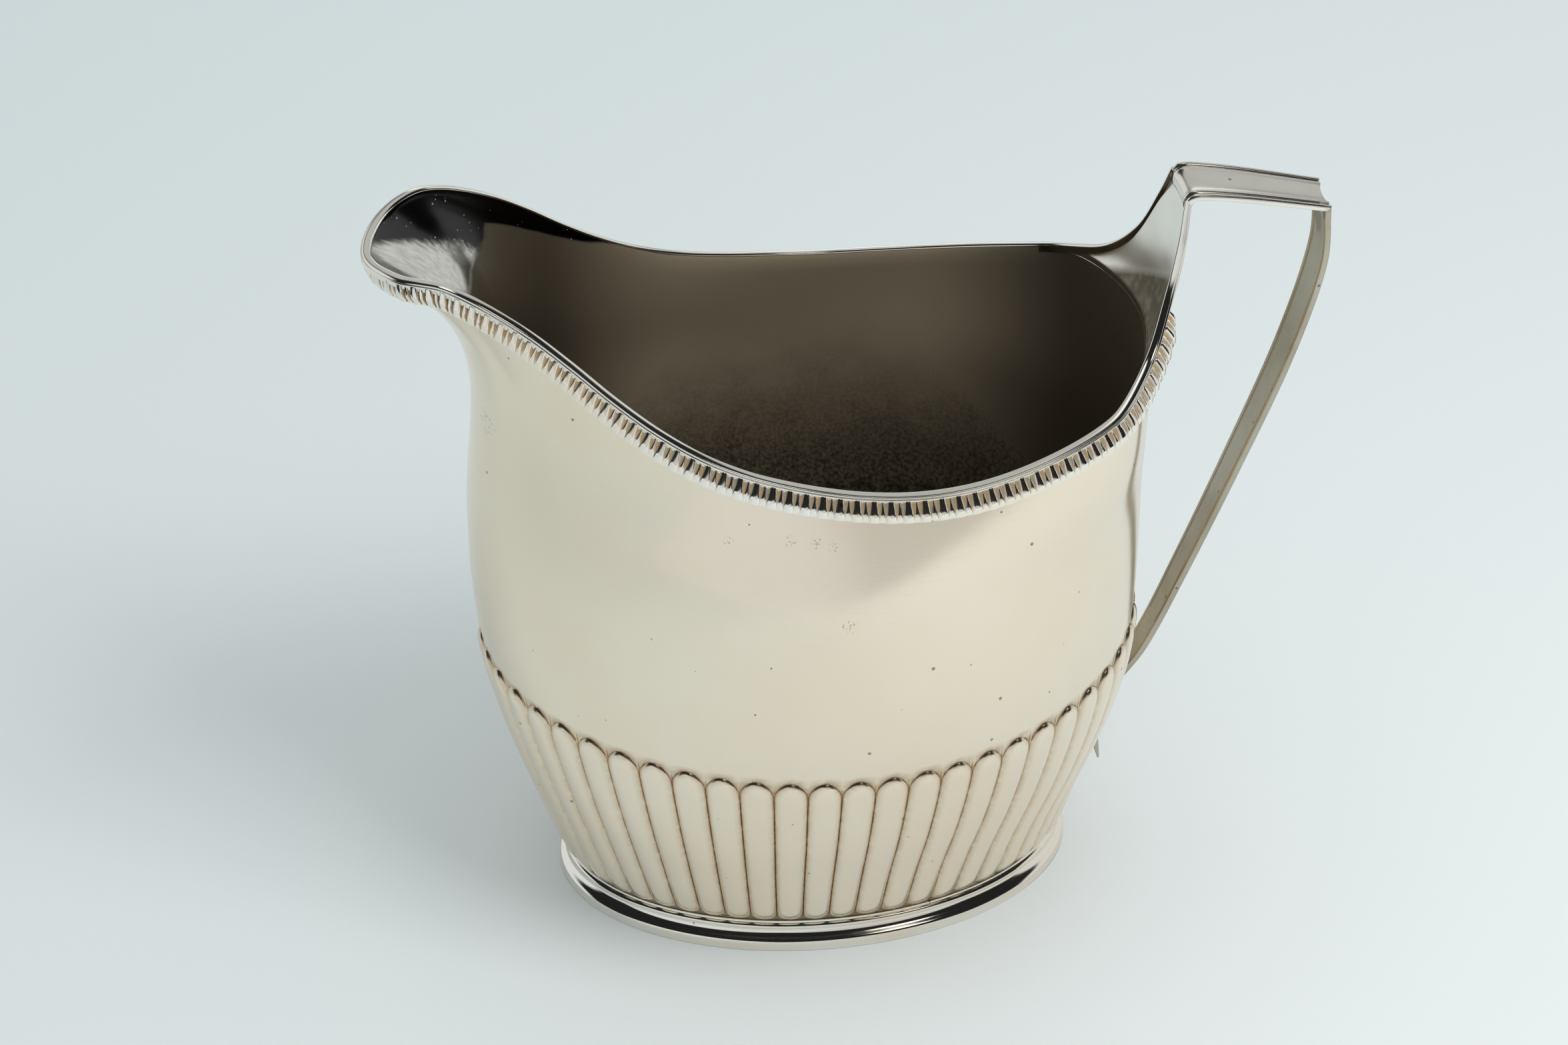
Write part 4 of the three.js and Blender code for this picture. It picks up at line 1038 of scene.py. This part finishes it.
# Panels that the silver mirrors: turn from +X, rise, radius and soft edge in degrees, and colour
ROOM_PANELS = [
    (85, 0, 40, 16, (0.24, 0.24, 0.235, 1)),
    (140, -2, 30, 10, (0.76, 0.795, 0.815, 1)),
    (-78, -17, 36, 5, (0.60, 0.62, 0.625, 1)),
    (-125, -17, 36, 8, (0.76, 0.795, 0.815, 1)),
    (25, -3, 38, 4, (0.74, 0.775, 0.78, 1)),
    (74, 46, 29, 6, (0.50, 0.52, 0.51, 1)),
    (80, 6, 9, 5, (1.1, 1.12, 1.12, 1)),
    (80, 84, 8, 3, (1.15, 1.17, 1.17, 1)),
    (-49, 57, 6, 2, (2.2, 2.2, 2.1, 1)),
]
LAMP_TURN, LAMP_RISE, LAMP_DISTANCE, LAMP_SIZE, LAMP_POWER = -48, 56, 1.3, 0.6, 5.6


def sky_way(turn, rise):
    turn, rise = math.radians(turn), math.radians(rise)
    return (math.cos(turn) * math.cos(rise), math.sin(turn) * math.cos(rise), math.sin(rise))


def faced(thing, right, up, back, place):
    thing.matrix_world = Matrix(np.vstack([np.stack([right, up, back, place], 1), [0, 0, 0, 1]]).tolist())
    scene.collection.objects.link(thing)


def studio_lamp():
    lamp = bpy.data.lights.new("key", "AREA")
    lamp.size = LAMP_SIZE
    lamp.energy = LAMP_POWER
    light = bpy.data.objects.new("key", lamp)
    light.visible_glossy = False
    back = np.array(sky_way(LAMP_TURN, LAMP_RISE))
    right = unit(np.cross(UP, back))
    faced(light, right, np.cross(back, right), back, back * LAMP_DISTANCE)


def studio_room():
    """Plain light on everything. What the silver mirrors is a dark room with a few pale panels and a lamp."""
    world = bpy.data.worlds.new("studio")
    world.use_nodes = True
    scene.world = world
    tree = world.node_tree
    where = put(tree, "ShaderNodeTexCoord", {}).outputs["Generated"]
    room = ROOM_DARK
    for turn, rise, radius, edge, colour in ROOM_PANELS:
        toward = put(tree, "ShaderNodeVectorMath", {0: where, 1: sky_way(turn, rise)}, operation="DOT_PRODUCT")
        low, high = math.cos(math.radians(radius + edge)), math.cos(math.radians(radius))
        room = blend(ramp(toward.outputs["Value"], low, high), room, colour)
    mirrored = put(tree, "ShaderNodeLightPath", {}).outputs["Is Glossy Ray"]
    fill(tree.nodes["Background"], {"Color": blend(mirrored, ROOM_LIGHT, room)})


CAMERA_YAW, CAMERA_PITCH, CAMERA_ROLL = 11.04, 35.16, 0.69
CAMERA_DISTANCE, CAMERA_ASIDE, CAMERA_ABOVE = 1065.73, -4.03, 45.64
CAMERA_LENS = 170.24


def photo_camera():
    yaw, pitch, roll = (math.radians(a) for a in (CAMERA_YAW, CAMERA_PITCH, CAMERA_ROLL))
    back = np.array([-math.sin(yaw) * math.cos(pitch), -math.cos(yaw) * math.cos(pitch), math.sin(pitch)])
    level = np.array([math.cos(yaw), -math.sin(yaw), 0])
    above = np.cross(back, level)
    right = math.cos(roll) * level + math.sin(roll) * above
    up = math.cos(roll) * above - math.sin(roll) * level
    place = (back * CAMERA_DISTANCE + right * CAMERA_ASIDE + up * CAMERA_ABOVE) * MM + FOOT_MIDDLE
    lens = bpy.data.cameras.new("photo_camera")
    lens.lens = CAMERA_LENS
    lens.sensor_fit = "HORIZONTAL"
    camera = bpy.data.objects.new("photo_camera", lens)
    faced(camera, right, up, back, place)
    scene.camera = camera


studio_floor()
studio_lamp()
studio_room()
photo_camera()
scene.view_settings.view_transform = "Standard"

bpy.context.view_layer.update()
